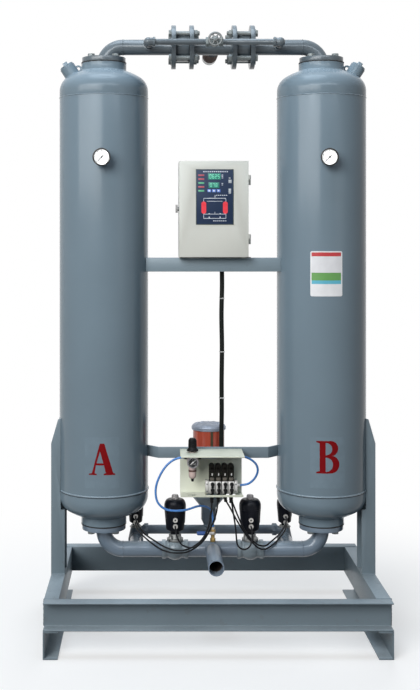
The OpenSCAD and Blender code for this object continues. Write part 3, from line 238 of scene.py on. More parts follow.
link_nodes(enamel,
           (mixed(enamel, chip, mixed(enamel, dust_and_sky_sheen, tinted(enamel, enamel_in.outputs["Colour"], cloud_value),
                                      (0.42, 0.50, 0.56)), (0.10, 0.085, 0.075)), enamel_out.inputs["Colour"]),
           (math_node(enamel, "ADD", math_node(enamel, "MULTIPLY_ADD", speck, 0.16,
                                               enamel_in.outputs["Gloss"]),
                      math_node(enamel, "MULTIPLY", dust_and_sky_sheen, 0.3)), enamel_out.inputs["Roughness"]),
           (math_node(enamel, "ADD", peel, math_node(enamel, "MULTIPLY", speck, 0.5)),
            enamel_out.inputs["Height"]))


def finish(name, group, values, bump=0.1, depth=0.0005, **plain):
    """A material whose colour, roughness and bump come from an effect group; plain values are set directly."""
    material = bpy.data.materials.new(name)
    material.use_nodes = True
    tree = material.node_tree
    shader = tree.nodes["Principled BSDF"]
    effect = tree.nodes.new("ShaderNodeGroup")
    effect.node_tree = group
    for socket, value in values.items():
        effect.inputs[socket].default_value = (*value, 1) if isinstance(value, tuple) else value
    relief = tree.nodes.new("ShaderNodeBump")
    relief.inputs["Strength"].default_value = bump
    relief.inputs["Distance"].default_value = depth
    link_nodes(tree, (effect.outputs["Colour"], shader.inputs["Base Color"]),
               (effect.outputs["Roughness"], shader.inputs["Roughness"]),
               (effect.outputs["Height"], relief.inputs["Height"]),
               (relief.outputs["Normal"], shader.inputs["Normal"]))
    for socket, value in plain.items():
        shader.inputs[socket.replace("_", " ")].default_value = value
    return material


bodies = frame["record"]["behaviour"]["bodies"]
body_of_node = {node: body for body, nodes in bodies.items() for node in nodes}


def fit(piece, name, material, body="frame", instead_of=()):
    """Names a finished piece, gives it its material, and sets it on its body."""
    piece.name = name
    piece.data.name = name
    piece.data.materials.clear()
    piece.data.materials.append(material)
    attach(piece, body)
    if instead_of:
        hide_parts(*instead_of)
    return piece


def only(piece):
    """Selects one object alone and makes it the active one."""
    bpy.ops.object.select_all(action="DESELECT")
    piece.select_set(True)
    bpy.context.view_layer.objects.active = piece
    return piece


def soften(piece, width, segments=2, angle=32):
    """Rounds the sharp edges of a piece with a bevel that is applied, and smooths the rest."""
    only(piece)
    if width:
        bevel = piece.modifiers.new("edge", "BEVEL")
        bevel.width = width
        bevel.segments = segments
        bevel.limit_method = "ANGLE"
        bevel.angle_limit = math.radians(angle)
        bpy.ops.object.modifier_apply(modifier="edge")
    bpy.ops.object.shade_smooth_by_angle(angle=math.radians(angle + 6))
    return piece


def rounded_node(node, width, material, segments=2, angle=32):
    """A merged copy of a CAD node with its edges rounded, which stands for the node."""
    piece = bpy.data.objects.new(node, frame["nodes"][node].data.copy())
    bpy.context.scene.collection.objects.link(piece)
    only(piece)
    bpy.ops.object.mode_set(mode="EDIT")
    bpy.ops.mesh.select_all(action="SELECT")
    bpy.ops.mesh.remove_doubles(threshold=0.00001)
    bpy.ops.mesh.dissolve_limited(angle_limit=math.radians(0.6))
    bpy.ops.object.mode_set(mode="OBJECT")
    soften(piece, width, segments, angle)
    return fit(piece, node + "_dressed", material, body_of_node[node], [node])


def sprayed(name, colour, cloud, gloss, dust_and_sky_sheen, chips=0.0, bump=0.1, depth=0.0005, shine=0.5):
    """A coat of the enamel, with its clouds, gloss and chips, a pale top tint (thin dirt and a painted sky
    reflection), its relief and how much it shines.
    """
    return finish(name, enamel,
                  {"Colour": colour, "Cloud": cloud, "Gloss": gloss, "Dust and sky sheen": dust_and_sky_sheen, "Chips": chips},
                  bump, depth, Specular_IOR_Level=shine)


def frame_paint(name, shade):
    """The frame's enamel made darker or lighter by a factor: lit and shaded copies of one coat, as painted
    light and painted shade.
    """
    return sprayed(name, tuple(part * shade for part in BASE_ENAMEL), 0.22, 0.32, 0.55, 0.14, 0.10, 0.0004, 0.3)


# The beams and feet get a darker copy as painted shade; the posts and lower crossbar a lighter one and the
# upper crossbar a much lighter one, as painted light.
shaded_frame_paint = frame_paint("grey_enamel_frame_painted_shade", 0.86)
lit_post_paint = frame_paint("grey_enamel_posts_painted_light", 1.06)
lit_rail_paint = frame_paint("grey_enamel_rail_painted_light", 1.32)
for rolled, coat in (("long_beams", shaded_frame_paint), ("side_frames", shaded_frame_paint), ("post_a", lit_post_paint),
                     ("post_b", lit_post_paint), ("upper_crossbar", lit_rail_paint), ("lower_crossbar", lit_post_paint)):
    rounded_node(rolled, ROLLED_EDGE, coat)


def bead_run(points, width):
    """A swept bead along the points with uneven ripples, made a mesh."""
    curve = bpy.data.curves.new("bead", "CURVE")
    curve.dimensions = "3D"
    curve.bevel_depth = width
    curve.bevel_resolution = 2
    curve.use_fill_caps = True
    run = curve.splines.new("POLY")
    fine = []
    for a, b in zip(points, points[1:]):
        steps = max(2, int((Vector(b) - Vector(a)).length / (width * 1.3)))
        fine += [Vector(a).lerp(Vector(b), k / steps) for k in range(steps)]
    fine.append(Vector(points[-1]))
    run.points.add(len(fine) - 1)
    for spot, place in zip(run.points, fine):
        spot.co = (*place, 1)
        spot.radius = random.uniform(0.72, 1.08)
    bead = bpy.data.objects.new("bead", curve)
    bpy.context.scene.collection.objects.link(bead)
    only(bead)
    bpy.ops.object.convert(target="MESH")
    bpy.ops.object.shade_smooth()
    return bpy.context.object


def weld_bead(name, points, width, material):
    """A weld run between two steel pieces of the frame, painted over with them."""
    return fit(bead_run(points, width), name, material)


beam_low, beam_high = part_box("long_beams")
foot_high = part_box("side_frames")[1]
post_low, post_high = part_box("post_b")
for side, letter in SIDES:
    end = side * beam_high.x
    for face, where in ((-1, "front"), (1, "rear")):
        inner = face * (beam_high.y - BEAM_FLANGE)
        weld_bead(f"corner_weld_{letter}_{where}",
                  [(end, inner, beam_low.z + 0.004), (end, inner, beam_high.z - 0.001),
                   (end - side * BEAM_FLANGE, inner, beam_high.z - 0.001)], BEAD, shaded_frame_paint)
        weld_bead(f"foot_weld_{letter}_{where}",
                  [(end - side * 0.002, face * (foot_high.y - 0.006), beam_low.z),
                   (end - side * 0.002, face * (foot_high.y - 0.30), beam_low.z)], BEAD * 0.8, shaded_frame_paint)
        weld_bead(f"post_weld_{letter}_{where}",
                  [(end - side * 0.002, face * post_high.y, post_low.z + 0.001),
                   (end - side * BEAM_FLANGE, face * post_high.y, post_low.z + 0.001)], BEAD, shaded_frame_paint)

# Towers: seamless steel pipe with dished heads welded on, a flanged neck at each end, a tilted filler
# neck and a lifting eye. They are sprayed with a glossier coat of the same grey-blue enamel.
TOWER_X = 0.4
TOWER_R = 0.1625
SHELL_LOW, SHELL_TOP = 0.472, 1.953
CROWN, KNUCKLE = 0.26, 0.06
HEAD_STRAIGHT = 0.025
NECK_R, NECK_RISE = 0.0825, 0.015
SEAM_R = 0.0016
FILLER_R, FILLER_TILT = 0.0285, math.radians(33)
GAUGE_Z = 1.7
TOWER_ENAMEL = (0.161, 0.220, 0.266)
tower_paint = sprayed("grey_enamel_towers", TOWER_ENAMEL, 0.16, 0.11, 0.4, 0, 0.07, 0.0004, 0.20)
AXES = {"X": Vector((1, 0, 0)), "Y": Vector((0, 1, 0)), "Z": Vector((0, 0, 1))}


def turned(profile, foot, axis="Z", steps=64):
    """A turned piece: one vertex is extruded along the half profile of (radius, height), then spun."""
    along = AXES[axis]
    side = AXES["Y"] if axis == "X" else AXES["X"]
    points = [Vector(foot) + side * r + along * h for r, h in profile]
    bpy.ops.object.select_all(action="DESELECT")
    bpy.ops.mesh.primitive_plane_add(size=0.001)
    bpy.ops.object.mode_set(mode="EDIT")
    bpy.ops.mesh.merge(type="CENTER")
    bpy.ops.transform.translate(value=points[0])
    for a, b in zip(points, points[1:]):
        bpy.ops.mesh.extrude_region_move(TRANSFORM_OT_translate={"value": b - a})
    bpy.ops.mesh.select_all(action="SELECT")
    bpy.ops.mesh.spin(steps=steps, angle=2 * math.pi, center=foot, axis=along)
    bpy.ops.mesh.select_all(action="SELECT")
    bpy.ops.mesh.remove_doubles(threshold=0.000002)
    bpy.ops.mesh.normals_make_consistent(inside=False)
    bpy.ops.object.mode_set(mode="OBJECT")
    piece = bpy.context.object
    bpy.ops.object.shade_smooth_by_angle(angle=math.radians(38))
    return piece


def arc(centre, radius, start, stop, count):
    """Points of a round stretch of a profile, angles in degrees."""
    turn = [math.radians(start + (stop - start) * k / count) for k in range(count + 1)]
    return [(centre[0] + radius * math.cos(t), centre[1] + radius * math.sin(t)) for t in turn]


def hoop(inner, outer, low, high):
    """Closed half profile of a square ring."""
    return [(inner, low), (outer, low), (outer, high), (inner, high), (inner, low)]


lean = math.asin((TOWER_R - KNUCKLE) / (CROWN - KNUCKLE))
rise = CROWN - math.sqrt((CROWN - KNUCKLE) ** 2 - (TOWER_R - KNUCKLE) ** 2)
neck_lean = math.degrees(math.asin((NECK_R + 0.003) / CROWN))
pole_top = SHELL_TOP + rise
top_head = (arc((TOWER_R - KNUCKLE, SHELL_TOP), KNUCKLE, 0, 90 - math.degrees(lean), 14)
            + arc((0, pole_top - CROWN), CROWN, 90 - math.degrees(lean), 90 - neck_lean, 12)[1:])
seam_z = SHELL_TOP - HEAD_STRAIGHT
seam = [(TOWER_R, seam_z - 2 * SEAM_R)] + arc((TOWER_R - 0.0006, seam_z), SEAM_R, -80, 80, 6) + [
    (TOWER_R, seam_z + 2 * SEAM_R)]
neck_face = pole_top + NECK_RISE
neck = [(NECK_R + 0.001, top_head[-1][1] + 0.0022), (NECK_R, top_head[-1][1] + 0.004),
        (NECK_R, neck_face - 0.002), (NECK_R - 0.002, neck_face), (0.031, neck_face),
        (0.031, neck_face - 0.03)]
upper_half = seam + top_head + neck
middle = (SHELL_LOW + SHELL_TOP) / 2
lower_half = [(r, 2 * middle - z) for r, z in reversed(upper_half)]
filler_axis = Vector((math.sin(FILLER_TILT), 0, math.cos(FILLER_TILT)))
filler_face = Vector((0.136, 0, pole_top + 0.004))


def joined(pieces):
    """Several meshes joined into the first."""
    bpy.ops.object.select_all(action="DESELECT")
    for piece in pieces:
        piece.select_set(True)
    bpy.context.view_layer.objects.active = pieces[0]
    bpy.ops.object.join()
    return bpy.context.object


def settled(piece):
    """Puts a turned or moved object's place into its mesh."""
    only(piece)
    bpy.ops.object.transform_apply(location=True, rotation=True, scale=True)
    return piece


def aimed(piece, place, direction):
    """Turns a piece that was made along Z at the origin to a direction, and sets it in place."""
    piece.rotation_mode = "QUATERNION"
    piece.rotation_quaternion = Vector(direction).to_track_quat("Z", "Y")
    piece.location = place
    return settled(piece)


def ring_run(centre, axis, radius, count=40):
    """Points of a circle about an axis, closed."""
    first = AXES["Y"] if axis == "X" else AXES["X"]
    second = AXES[axis].cross(first)
    return [Vector(centre) + (first * math.cos(2 * math.pi * k / count)
                              + second * math.sin(2 * math.pi * k / count)) * radius
            for k in range(count + 1)]


lower_seam_z = 2 * middle - seam_z
SEAM_BEADS = (("upper", seam_z, 0.0018), ("lower", lower_seam_z, 0.0036))
LINE_HALF, LINE_BELOW = 0.0008, 0.0042
seam_paint = sprayed("grey_enamel_seams", TOWER_ENAMEL, 0.2, 0.06, 0.5, 0, 0.1, 0.0004, 0.6)
# A thin dark ring just under each lower seam weld is painted shadow below the bead.
painted_seam_shadow = sprayed("seam_painted_shadow_enamel", (0.030, 0.040, 0.050), 0.4, 0.4, 0.1, 0, 0.2, 0.0004, 0.2)
seam_shadow_lines = []
for side, letter in SIDES:
    for where, z, width in SEAM_BEADS:
        weld_bead(f"seam_weld_{where}_{letter}",
                  ring_run((side * TOWER_X, 0, z), "Z", TOWER_R - 0.0002, 120), width, seam_paint)
    seam_shadow_lines.append(turned(hoop(TOWER_R - 0.001, TOWER_R + LINE_HALF, -LINE_HALF, LINE_HALF),
                             (side * TOWER_X, 0, lower_seam_z - LINE_BELOW), steps=120))
fit(joined(seam_shadow_lines), "seam_shadow_lines", painted_seam_shadow)
for side, letter in SIDES:
    centre = Vector((side * TOWER_X, 0, 0))
    shell = turned(lower_half + upper_half, centre, steps=160)
    outward = Vector((side * filler_axis.x, 0, filler_axis.z))
    mouth = centre + Vector((side * filler_face.x, 0, filler_face.z))
    filler = aimed(turned([(FILLER_R - 0.006, -0.012), (FILLER_R - 0.006, 0), (FILLER_R - 0.0015, 0),
                           (FILLER_R, -0.0015), (FILLER_R, -0.055)], (0, 0, 0), steps=48), mouth, outward)
    across = outward.cross(AXES["Y"])
    ring = []
    for k in range(37):
        t = 2 * math.pi * k / 36
        start = mouth + (across * math.cos(t) + AXES["Y"] * math.sin(t)) * (FILLER_R + 0.001)
        ring.append(shell.ray_cast(start, -outward)[1])
    weld_bead(f"filler_weld_{letter}", ring, 0.0028, tower_paint)
    eye = turned([(0.0065, -0.003), (0.0075, -0.004), (0.012, -0.004), (0.013, -0.003), (0.013, 0.003),
                  (0.012, 0.004), (0.0075, 0.004), (0.0065, 0.003), (0.0065, -0.003)],
                 (side * (TOWER_X + 0.094), 0, pole_top - 0.004), axis="Y", steps=32)
    boss = turned([(0.0, -0.0105), (0.0095, -0.0105), (0.011, -0.009), (0.011, -0.001), (0.0145, 0.002),
                   (0.0145, 0.004)], (side * TOWER_X, -TOWER_R, GAUGE_Z), axis="Y", steps=32)
    fit(joined([shell, filler, eye, boss]), f"tower_{letter}_shell", tower_paint,
        instead_of=[f"tower_{letter}"])

# Filler plugs: forged steel plugs with a square head, screwed into the filler necks
# and painted over with the towers, so their edges are soft under the coat.
plug_paint = sprayed("grey_enamel_castings", TOWER_ENAMEL, 0.2, 0.15, 0.4, 0, 0.25, 0.0006, 0.4)
rounded_node("filler_plugs", 0.0016, plug_paint)

# Tower letters: cut from red vinyl film, A for the left tower and B for the right, each on a patch of
# clear film that is laid on the round shell.
LETTERS = {"A": (-1, 0.112, 0.5763), "B": (1, 0.115, 0.5821)}
BACKING_W, BACKING_H, BACKING_FOOT = 0.126, 0.181, 0.529
FILM = 0.0004
LETTER_RED = (0.185, 0.004, 0.006)


def clouded_group(name, cloud, grain, rough_by, spread, cloudy_gloss=False):
    """A clouded colour with a grain; noises are (scale, detail), spread a socket's name or a number."""
    sockets = [("Colour", COLOUR, (0.5, 0.5, 0.5, 1)), ("Gloss", FLOAT, 0.3)]
    if isinstance(spread, str):
        sockets.append((spread, FLOAT, 0.3))
    group, group_in, group_out = effect_group(name, sockets, SURFACE)
    if isinstance(spread, str):
        spread = group_in.outputs[spread]
    at = group.nodes.new("ShaderNodeTexCoord").outputs["Object"]
    clouds, grains = (noise_node(group, *noise, at) for noise in (cloud, grain))
    brightness = math_node(group, "MULTIPLY_ADD", math_node(group, "SUBTRACT", clouds, 0.5), spread, 1.0)
    link_nodes(group, (tinted(group, group_in.outputs["Colour"], brightness), group_out.inputs["Colour"]),
               (math_node(group, "MULTIPLY_ADD", clouds if cloudy_gloss else grains, rough_by,
                          group_in.outputs["Gloss"]), group_out.inputs["Roughness"]),
               (grains, group_out.inputs["Height"]))
    return group


film = clouded_group("vinyl film", (30, 4), (700, 2), 0.2, 0.24)


def vinyl(name, colour, gloss, bump=0.04, shine=0.5):
    """A thin printed or cut film."""
    return finish(name, film, {"Colour": colour, "Gloss": gloss}, bump, Specular_IOR_Level=shine)


letter_red = vinyl("red_vinyl", LETTER_RED, 0.36, shine=0.08)
clear_backing = vinyl("letter_backing", TOWER_ENAMEL, 0.10, 0.03, 0.20)


def letter_outline(letter):
    """Outlines of a bold serif capital in units of its height: the outer line first, then its holes."""
    if letter == "A":
        return ([(0.0, 0.0), (0.255, 0.0), (0.255, 0.04), (0.19, 0.062), (0.232, 0.31), (0.484, 0.31),
                 (0.545, 0.062), (0.475, 0.04), (0.475, 0.0), (0.846, 0.0), (0.846, 0.04), (0.78, 0.062),
                 (0.50, 0.985), (0.47, 1.0), (0.38, 1.0), (0.35, 0.985), (0.10, 0.062), (0.0, 0.04)],
                [(0.252, 0.375), (0.36, 0.745), (0.468, 0.375)])
    upper = arc((0.445, 0.765), 0.235, 90, -68, 10)
    lower = arc((0.445, 0.275), 0.275, 84, -90, 12)
    return ([(0.0, 0.0), (0.0, 0.045), (0.104, 0.07), (0.104, 0.93), (0.0, 0.955), (0.0, 1.0)]
            + upper + lower,
            [(0.285, 0.562), (0.285, 0.942)] + arc((0.30, 0.752), 0.19, 90, -90, 10),
            [(0.285, 0.05), (0.285, 0.49)] + arc((0.295, 0.27), 0.22, 90, -90, 10))


def curved_film(name, outlines, height, axis_x, aside, low, material, film_t=FILM):
    """A flat filled outline made a mesh, cut into strips and laid on the round front of a tower."""
    curve = bpy.data.curves.new(name, "CURVE")
    curve.dimensions = "2D"
    curve.fill_mode = "BOTH"
    for outline in outlines:
        line = curve.splines.new("POLY")
        line.points.add(len(outline) - 1)
        line.use_cyclic_u = True
        for spot, (x, y) in zip(line.points, outline):
            spot.co = (x * height, y * height, 0, 1)
    piece = bpy.data.objects.new(name, curve)
    bpy.context.scene.collection.objects.link(piece)
    only(piece)
    bpy.ops.object.convert(target="MESH")
    piece = bpy.context.object
    width = max(v.co.x for v in piece.data.vertices)
    bpy.ops.object.mode_set(mode="EDIT")
    for k in range(1, int(width / 0.004)):
        bpy.ops.mesh.select_all(action="SELECT")
        bpy.ops.mesh.bisect(plane_co=(k * 0.004, 0, 0), plane_no=(1, 0, 0))
    bpy.ops.object.mode_set(mode="OBJECT")
    for v in piece.data.vertices:
        round_by = (v.co.x - width / 2 + aside) / TOWER_R
        out = TOWER_R + film_t
        v.co = (axis_x + out * math.sin(round_by), -out * math.cos(round_by), low + v.co.y)
    bpy.ops.object.mode_set(mode="EDIT")
    bpy.ops.mesh.select_all(action="SELECT")
    bpy.ops.mesh.remove_doubles(threshold=0.000002)
    bpy.ops.mesh.normals_make_consistent(inside=False)
    bpy.ops.object.mode_set(mode="OBJECT")
    if sum(face.normal.y for face in piece.data.polygons) > 0:
        piece.data.flip_normals()
    thick = piece.modifiers.new("film", "SOLIDIFY")
    thick.thickness = film_t * 0.9
    thick.offset = -1
    bpy.ops.object.modifier_apply(modifier="film")
    bpy.ops.object.shade_smooth_by_angle(angle=math.radians(30))
    return fit(piece, name, material)


backing_outline = [(0, 0), (BACKING_W / BACKING_H, 0), (BACKING_W / BACKING_H, 1), (0, 1)]
for letter, (side, letter_high, letter_foot) in LETTERS.items():
    curved_film(f"letter_backing_{letter}", [backing_outline], BACKING_H, side * TOWER_X, 0, BACKING_FOOT,
                clear_backing, FILM / 2)
    curved_film(f"tower_letter_{letter}", letter_outline(letter), letter_high, side * TOWER_X, 0, letter_foot,
                letter_red)

# Notice film on tower B: a plain printed sheet with coloured fields and rounded corners, stuck on the
# round shell. The fields are bands across the sheet inside a white margin.
NOTICE_W, NOTICE_H, NOTICE_CORNER, NOTICE_MARGIN = 0.115, 0.160, 0.035, 0.0042
NOTICE_FOOT, NOTICE_ASIDE = 1.209, -0.005
NOTICE_WHITE = (0.76, 0.77, 0.79)
notice_bands = [(0.0, NOTICE_WHITE), (0.27, (0.10, 0.42, 0.55)), (0.35, (0.11, 0.30, 0.075)),
                (0.52, (0.70, 0.71, 0.74)), (0.885, (0.46, 0.030, 0.035)), (0.972, NOTICE_WHITE)]
notice_paper = vinyl("notice_film", (0.8, 0.8, 0.8), 0.3)
notice_tree = notice_paper.node_tree
notice_group = next(n for n in notice_tree.nodes if n.type == "GROUP")
notice_at = notice_tree.nodes.new("ShaderNodeSeparateXYZ")
notice_tree.links.new(notice_tree.nodes.new("ShaderNodeTexCoord").outputs["Object"], notice_at.inputs[0])
notice_height = math_node(notice_tree, "MULTIPLY_ADD", notice_at.outputs["Z"], 1 / NOTICE_H,
                          -NOTICE_FOOT / NOTICE_H)
notice_ramp = notice_tree.nodes.new("ShaderNodeValToRGB")
notice_ramp.color_ramp.interpolation = "CONSTANT"
while len(notice_ramp.color_ramp.elements) < len(notice_bands):
    notice_ramp.color_ramp.elements.new(0.99)
for element, (start, colour) in zip(notice_ramp.color_ramp.elements, notice_bands):
    element.position = start
    element.color = (*colour, 1)
from_middle = math_node(notice_tree, "ABSOLUTE", math_node(notice_tree, "SUBTRACT", notice_at.outputs["X"],
                                                           TOWER_X + NOTICE_ASIDE))
at_margin = math_node(notice_tree, "LESS_THAN", NOTICE_W / 2 - NOTICE_MARGIN - 0.0012, from_middle)
link_nodes(notice_tree, (notice_height, notice_ramp.inputs[0]),
           (mixed(notice_tree, at_margin, notice_ramp.outputs["Color"], NOTICE_WHITE),
            notice_group.inputs["Colour"]))
notice_wide = NOTICE_W / NOTICE_H
notice_outline = (arc((NOTICE_CORNER, NOTICE_CORNER), NOTICE_CORNER, 180, 270, 4)
                  + arc((notice_wide - NOTICE_CORNER, NOTICE_CORNER), NOTICE_CORNER, 270, 360, 4)
                  + arc((notice_wide - NOTICE_CORNER, 1 - NOTICE_CORNER), NOTICE_CORNER, 0, 90, 4)
                  + arc((NOTICE_CORNER, 1 - NOTICE_CORNER), NOTICE_CORNER, 90, 180, 4))
curved_film("tower_b_notice", [notice_outline], NOTICE_H, TOWER_X, NOTICE_ASIDE, NOTICE_FOOT, notice_paper)

# Upper pipe: two elbow spools and the outlet spool, cut from drawn pipe with flat flanges welded on,
# and two wafer check valves clamped between the flanges. Everything but the bolts is painted.
PIPE_R = 0.0285
PIPE_Z = sum(corner.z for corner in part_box("outlet_spool")) / 2
FLANGE_EDGE = 0.0012
FLANGE_WELD, ELBOW_WELD, BRANCH_WELD = 0.0036, 0.0017, 0.0026
CHECK_IN, CHECK_OUT, FLANGE_T = 0.086, 0.136, 0.016
ELBOW_R = 0.07
pipe_paint = sprayed("grey_enamel_pipes", (0.100, 0.126, 0.146), 0.25, 0.13, 0.4, 0.12, 0.12, shine=0.4)
for spool in ("top_spool_a", "top_spool_b", "outlet_spool", "check_valves"):
    rounded_node(spool, FLANGE_EDGE, pipe_paint)
for side, letter in SIDES:
    for x, where in ((CHECK_IN - FLANGE_T, "inner"), (CHECK_OUT + FLANGE_T, "outer")):
        weld_bead(f"flange_weld_{where}_{letter}", ring_run((side * x, 0, PIPE_Z), "X", PIPE_R + 0.001),
                  FLANGE_WELD, pipe_paint)
    weld_bead(f"elbow_weld_{letter}", ring_run((side * (TOWER_X - ELBOW_R), 0, PIPE_Z), "X", PIPE_R),
              ELBOW_WELD, pipe_paint)
    weld_bead(f"neck_weld_{letter}", ring_run((side * TOWER_X, 0, neck_face + 0.021), "Z", PIPE_R + 0.002),
              FLANGE_WELD, pipe_paint)
weld_bead("outlet_weld", ring_run((0, PIPE_R + 0.001, PIPE_Z), "Y", PIPE_R), BRANCH_WELD, pipe_paint)

# Gaskets: punched from rubbered fibre and clamped between the flanges, where only a thin dark edge of each
# shows. At the tower necks a wider dark ring is that edge together with painted shade in the joint.
fibre = clouded_group("pressed fibre", (300, 5), (300, 5), 0.2, 0.8)
gasket_fibre = finish("gasket_fibre", fibre, {"Colour": (0.010, 0.011, 0.012), "Gloss": 0.62}, bump=0.3)


def repaint(node, material):
    """A CAD node that keeps its shape gets its finish."""
    shape = frame["nodes"][node]
    shape.data.materials.clear()
    shape.data.materials.append(material)


repaint("flange_gaskets", gasket_fibre)
SEAL = 0.0017
# Dark rings over the neck joints, wider than the gasket edge: gasket edge and painted shade.
seals_and_joint_shade = [turned(hoop(NECK_R - 0.002, NECK_R + 0.0004, -SEAL, SEAL), (side * TOWER_X, 0, z), steps=96)
         for side, _ in SIDES for z in (neck_face + 0.001, 2 * middle - neck_face - 0.001)]
fit(joined(seals_and_joint_shade), "gasket_edges_and_joint_shade", gasket_fibre)

# Flange bolts: hot-forged hexagon bolts with washers under the heads and a few free threads at the nuts,
# zinc plated, yellowed and thinly painted over.
plated, plated_in, plated_out = effect_group("plated metal", (
    ("Colour", COLOUR, (0.5, 0.5, 0.5, 1)), ("Tarnish", COLOUR, (0.3, 0.25, 0.15, 1)),
    ("Spread", FLOAT, 0.4), ("Gloss", FLOAT, 0.3)), SURFACE)
plated_at = plated.nodes.new("ShaderNodeTexCoord").outputs["Object"]
plated_cloud = noise_node(plated, 45, 5, plated_at)
plated_fine = noise_node(plated, 900, 3, plated_at)
link_nodes(plated, (mixed(plated, math_node(plated, "MULTIPLY", plated_cloud, plated_in.outputs["Spread"]),
                          plated_in.outputs["Colour"], plated_in.outputs["Tarnish"]),
                    plated_out.inputs["Colour"]),
           (math_node(plated, "ADD", math_node(plated, "MULTIPLY", plated_fine, 0.18),
                      math_node(plated, "MULTIPLY_ADD", plated_cloud, 0.16, plated_in.outputs["Gloss"])),
            plated_out.inputs["Roughness"]), (plated_fine, plated_out.inputs["Height"]))


def metal(name, colour, tarnish, spread, gloss, bump, metallic, depth=0.0005):
    """A bare, plated or thinly painted metal with clouds of tarnish."""
    return finish(name, plated, {"Colour": colour, "Tarnish": tarnish, "Spread": spread, "Gloss": gloss}, bump,
                  depth, Metallic=metallic)


bolt_zinc = metal("painted_bolt_steel", (0.150, 0.180, 0.198), (0.21, 0.205, 0.165), 0.55, 0.30, 0.15, 0.35)
for bolts in ("header_bolts", "neck_bolts"):
    rounded_node(bolts, 0.0011, bolt_zinc)
BOLT_CIRCLE, BOLT_R, WASHER_R, WASHER_T, PITCH = 0.0625, 0.008, 0.015, 0.0025, 0.002
thread_profile = [(0, 0)] + [(BOLT_R - (0.0002 if k % 2 else -0.0005), 0.0002 + k * PITCH / 2)
                             for k in range(7)] + [(BOLT_R - 0.0014, 0.0076), (0, 0.0076)]
washer_profile = [(BOLT_R + 0.0004, 0), (WASHER_R - 0.0005, 0), (WASHER_R, 0.0005),
                  (WASHER_R, WASHER_T - 0.0005), (WASHER_R - 0.0005, WASHER_T), (BOLT_R + 0.0004, WASHER_T),
                  (BOLT_R + 0.0004, 0)]
for side, letter in SIDES:
    small_parts = []
    for quarter in range(4):
        turn = math.radians(45 + 90 * quarter)
        y, z = BOLT_CIRCLE * math.sin(turn), PIPE_Z + BOLT_CIRCLE * math.cos(turn)
        tip = aimed(turned(thread_profile, (0, 0, 0), steps=24),
                    (side * (CHECK_IN - FLANGE_T - 0.013), y, z), (-side, 0, 0))
        washer = aimed(turned(washer_profile, (0, 0, 0), steps=32),
                       (side * (CHECK_OUT + FLANGE_T), y, z), (side, 0, 0))
        small_parts += [tip, washer]
    fit(joined(small_parts), f"header_threads_{letter}", bolt_zinc)

# Purge line: thin steel pipe screwed into banded cast elbows on the spools,
# with a small bronze needle valve in the middle that sets the flow.
REGEN_Y, REGEN_X = -0.125, 0.236
rounded_node("regen_pipes", 0.0008, pipe_paint)
band_profile = [(0.0135, -0.0045), (0.0165, -0.0045), (0.0178, -0.003), (0.0178, 0.003), (0.0165, 0.0045),
                (0.0135, 0.0045), (0.0135, -0.0045)]
for side, letter in SIDES:
    bands = [turned(band_profile, (side * (REGEN_X - 0.0205), REGEN_Y, PIPE_Z), axis="X", steps=40),
             turned(band_profile, (side * REGEN_X, REGEN_Y + 0.0205, PIPE_Z), axis="Y", steps=40)]
    fit(joined(bands), f"elbow_bands_{letter}", pipe_paint)
valve_bronze = metal("painted_bronze", (0.150, 0.185, 0.200), (0.19, 0.19, 0.16), 0.5, 0.36, 0.3, 0.3, 0.0006)
rounded_node("throttle_valve", 0.0009, valve_bronze)

# Handwheel of the needle valve: a pressed wheel with spokes in dull plated steel,
# held on the spindle by a nut in the middle.
wheel_steel = metal("dull_wheel_steel", (0.20, 0.215, 0.22), (0.11, 0.12, 0.12), 0.8, 0.34, 0.2, 0.5)
rounded_node("throttle_handwheel", 0.0004, wheel_steel, angle=50)
wheel_nut = turned([(0.0, -0.0125), (0.003, -0.0125), (0.0042, -0.0112), (0.0042, -0.0095), (0.0072, -0.0095),
                    (0.0078, -0.0085), (0.0078, -0.0058), (0.0, -0.0058)],
                   (0, REGEN_Y - 0.062, PIPE_Z), axis="Y", steps=6)
fit(soften(wheel_nut, 0.0004, angle=25), "handwheel_nut", bolt_zinc, "handwheel")

# Lower pipe: elbow spools and the inlet tee of the same drawn pipe, with cast inlet valves screwed in
# between on banded collars. All are painted; the open stub shows its bare, oiled inside.
INLET_Z = 0.27074
VALVE_X = 0.138
BORE_R, STUB_END, OUTLET_Z, BORE_DEPTH = 0.0245, 0.2, 2.1163, 0.165
PRIMER_START = 0.045
low_paint = sprayed("grey_enamel_low_pipes", (0.156, 0.208, 0.268), 0.25, 0.12, 0.5, 0.12, 0.12, shine=0.4)
stub_paint = sprayed("worn_stub_enamel", (0.142, 0.184, 0.240), 0.7, 0.22, 0.35, 0.9, 0.2, 0.0006)
for spool, coat in (("bottom_spool_a", low_paint), ("bottom_spool_b", low_paint), ("inlet_tee", stub_paint)):
    rounded_node(spool, FLANGE_EDGE, coat)
bare_rim = metal("bare_pipe_end", (0.36, 0.36, 0.37), (0.13, 0.10, 0.085), 0.9, 0.30, 0.3, 0.8)
oily_bore = metal("oily_bore", (0.100, 0.098, 0.098), (0.13, 0.085, 0.060), 0.9, 0.35, 0.3, 0.5)
rims, bores = [], []
for way, height in ((-1, INLET_Z), (1, OUTLET_Z)):
    mouth = (0, way * STUB_END, height)
    rims.append(turned(hoop(BORE_R - 0.0001, PIPE_R - 0.0006, 0.0, way * 0.0003), mouth, axis="Y"))
    bores.append(turned(hoop(BORE_R - 0.0001, BORE_R - 0.0004, 0.0, -way * BORE_DEPTH), mouth, axis="Y"))
fit(joined(rims), "bare_pipe_ends", bare_rim)
fit(joined(bores), "oily_bores", oily_bore)
primer = sprayed("outlet_primer", (0.215, 0.150, 0.130), 0.6, 0.70, 0.1, bump=0.2, shine=0.05)
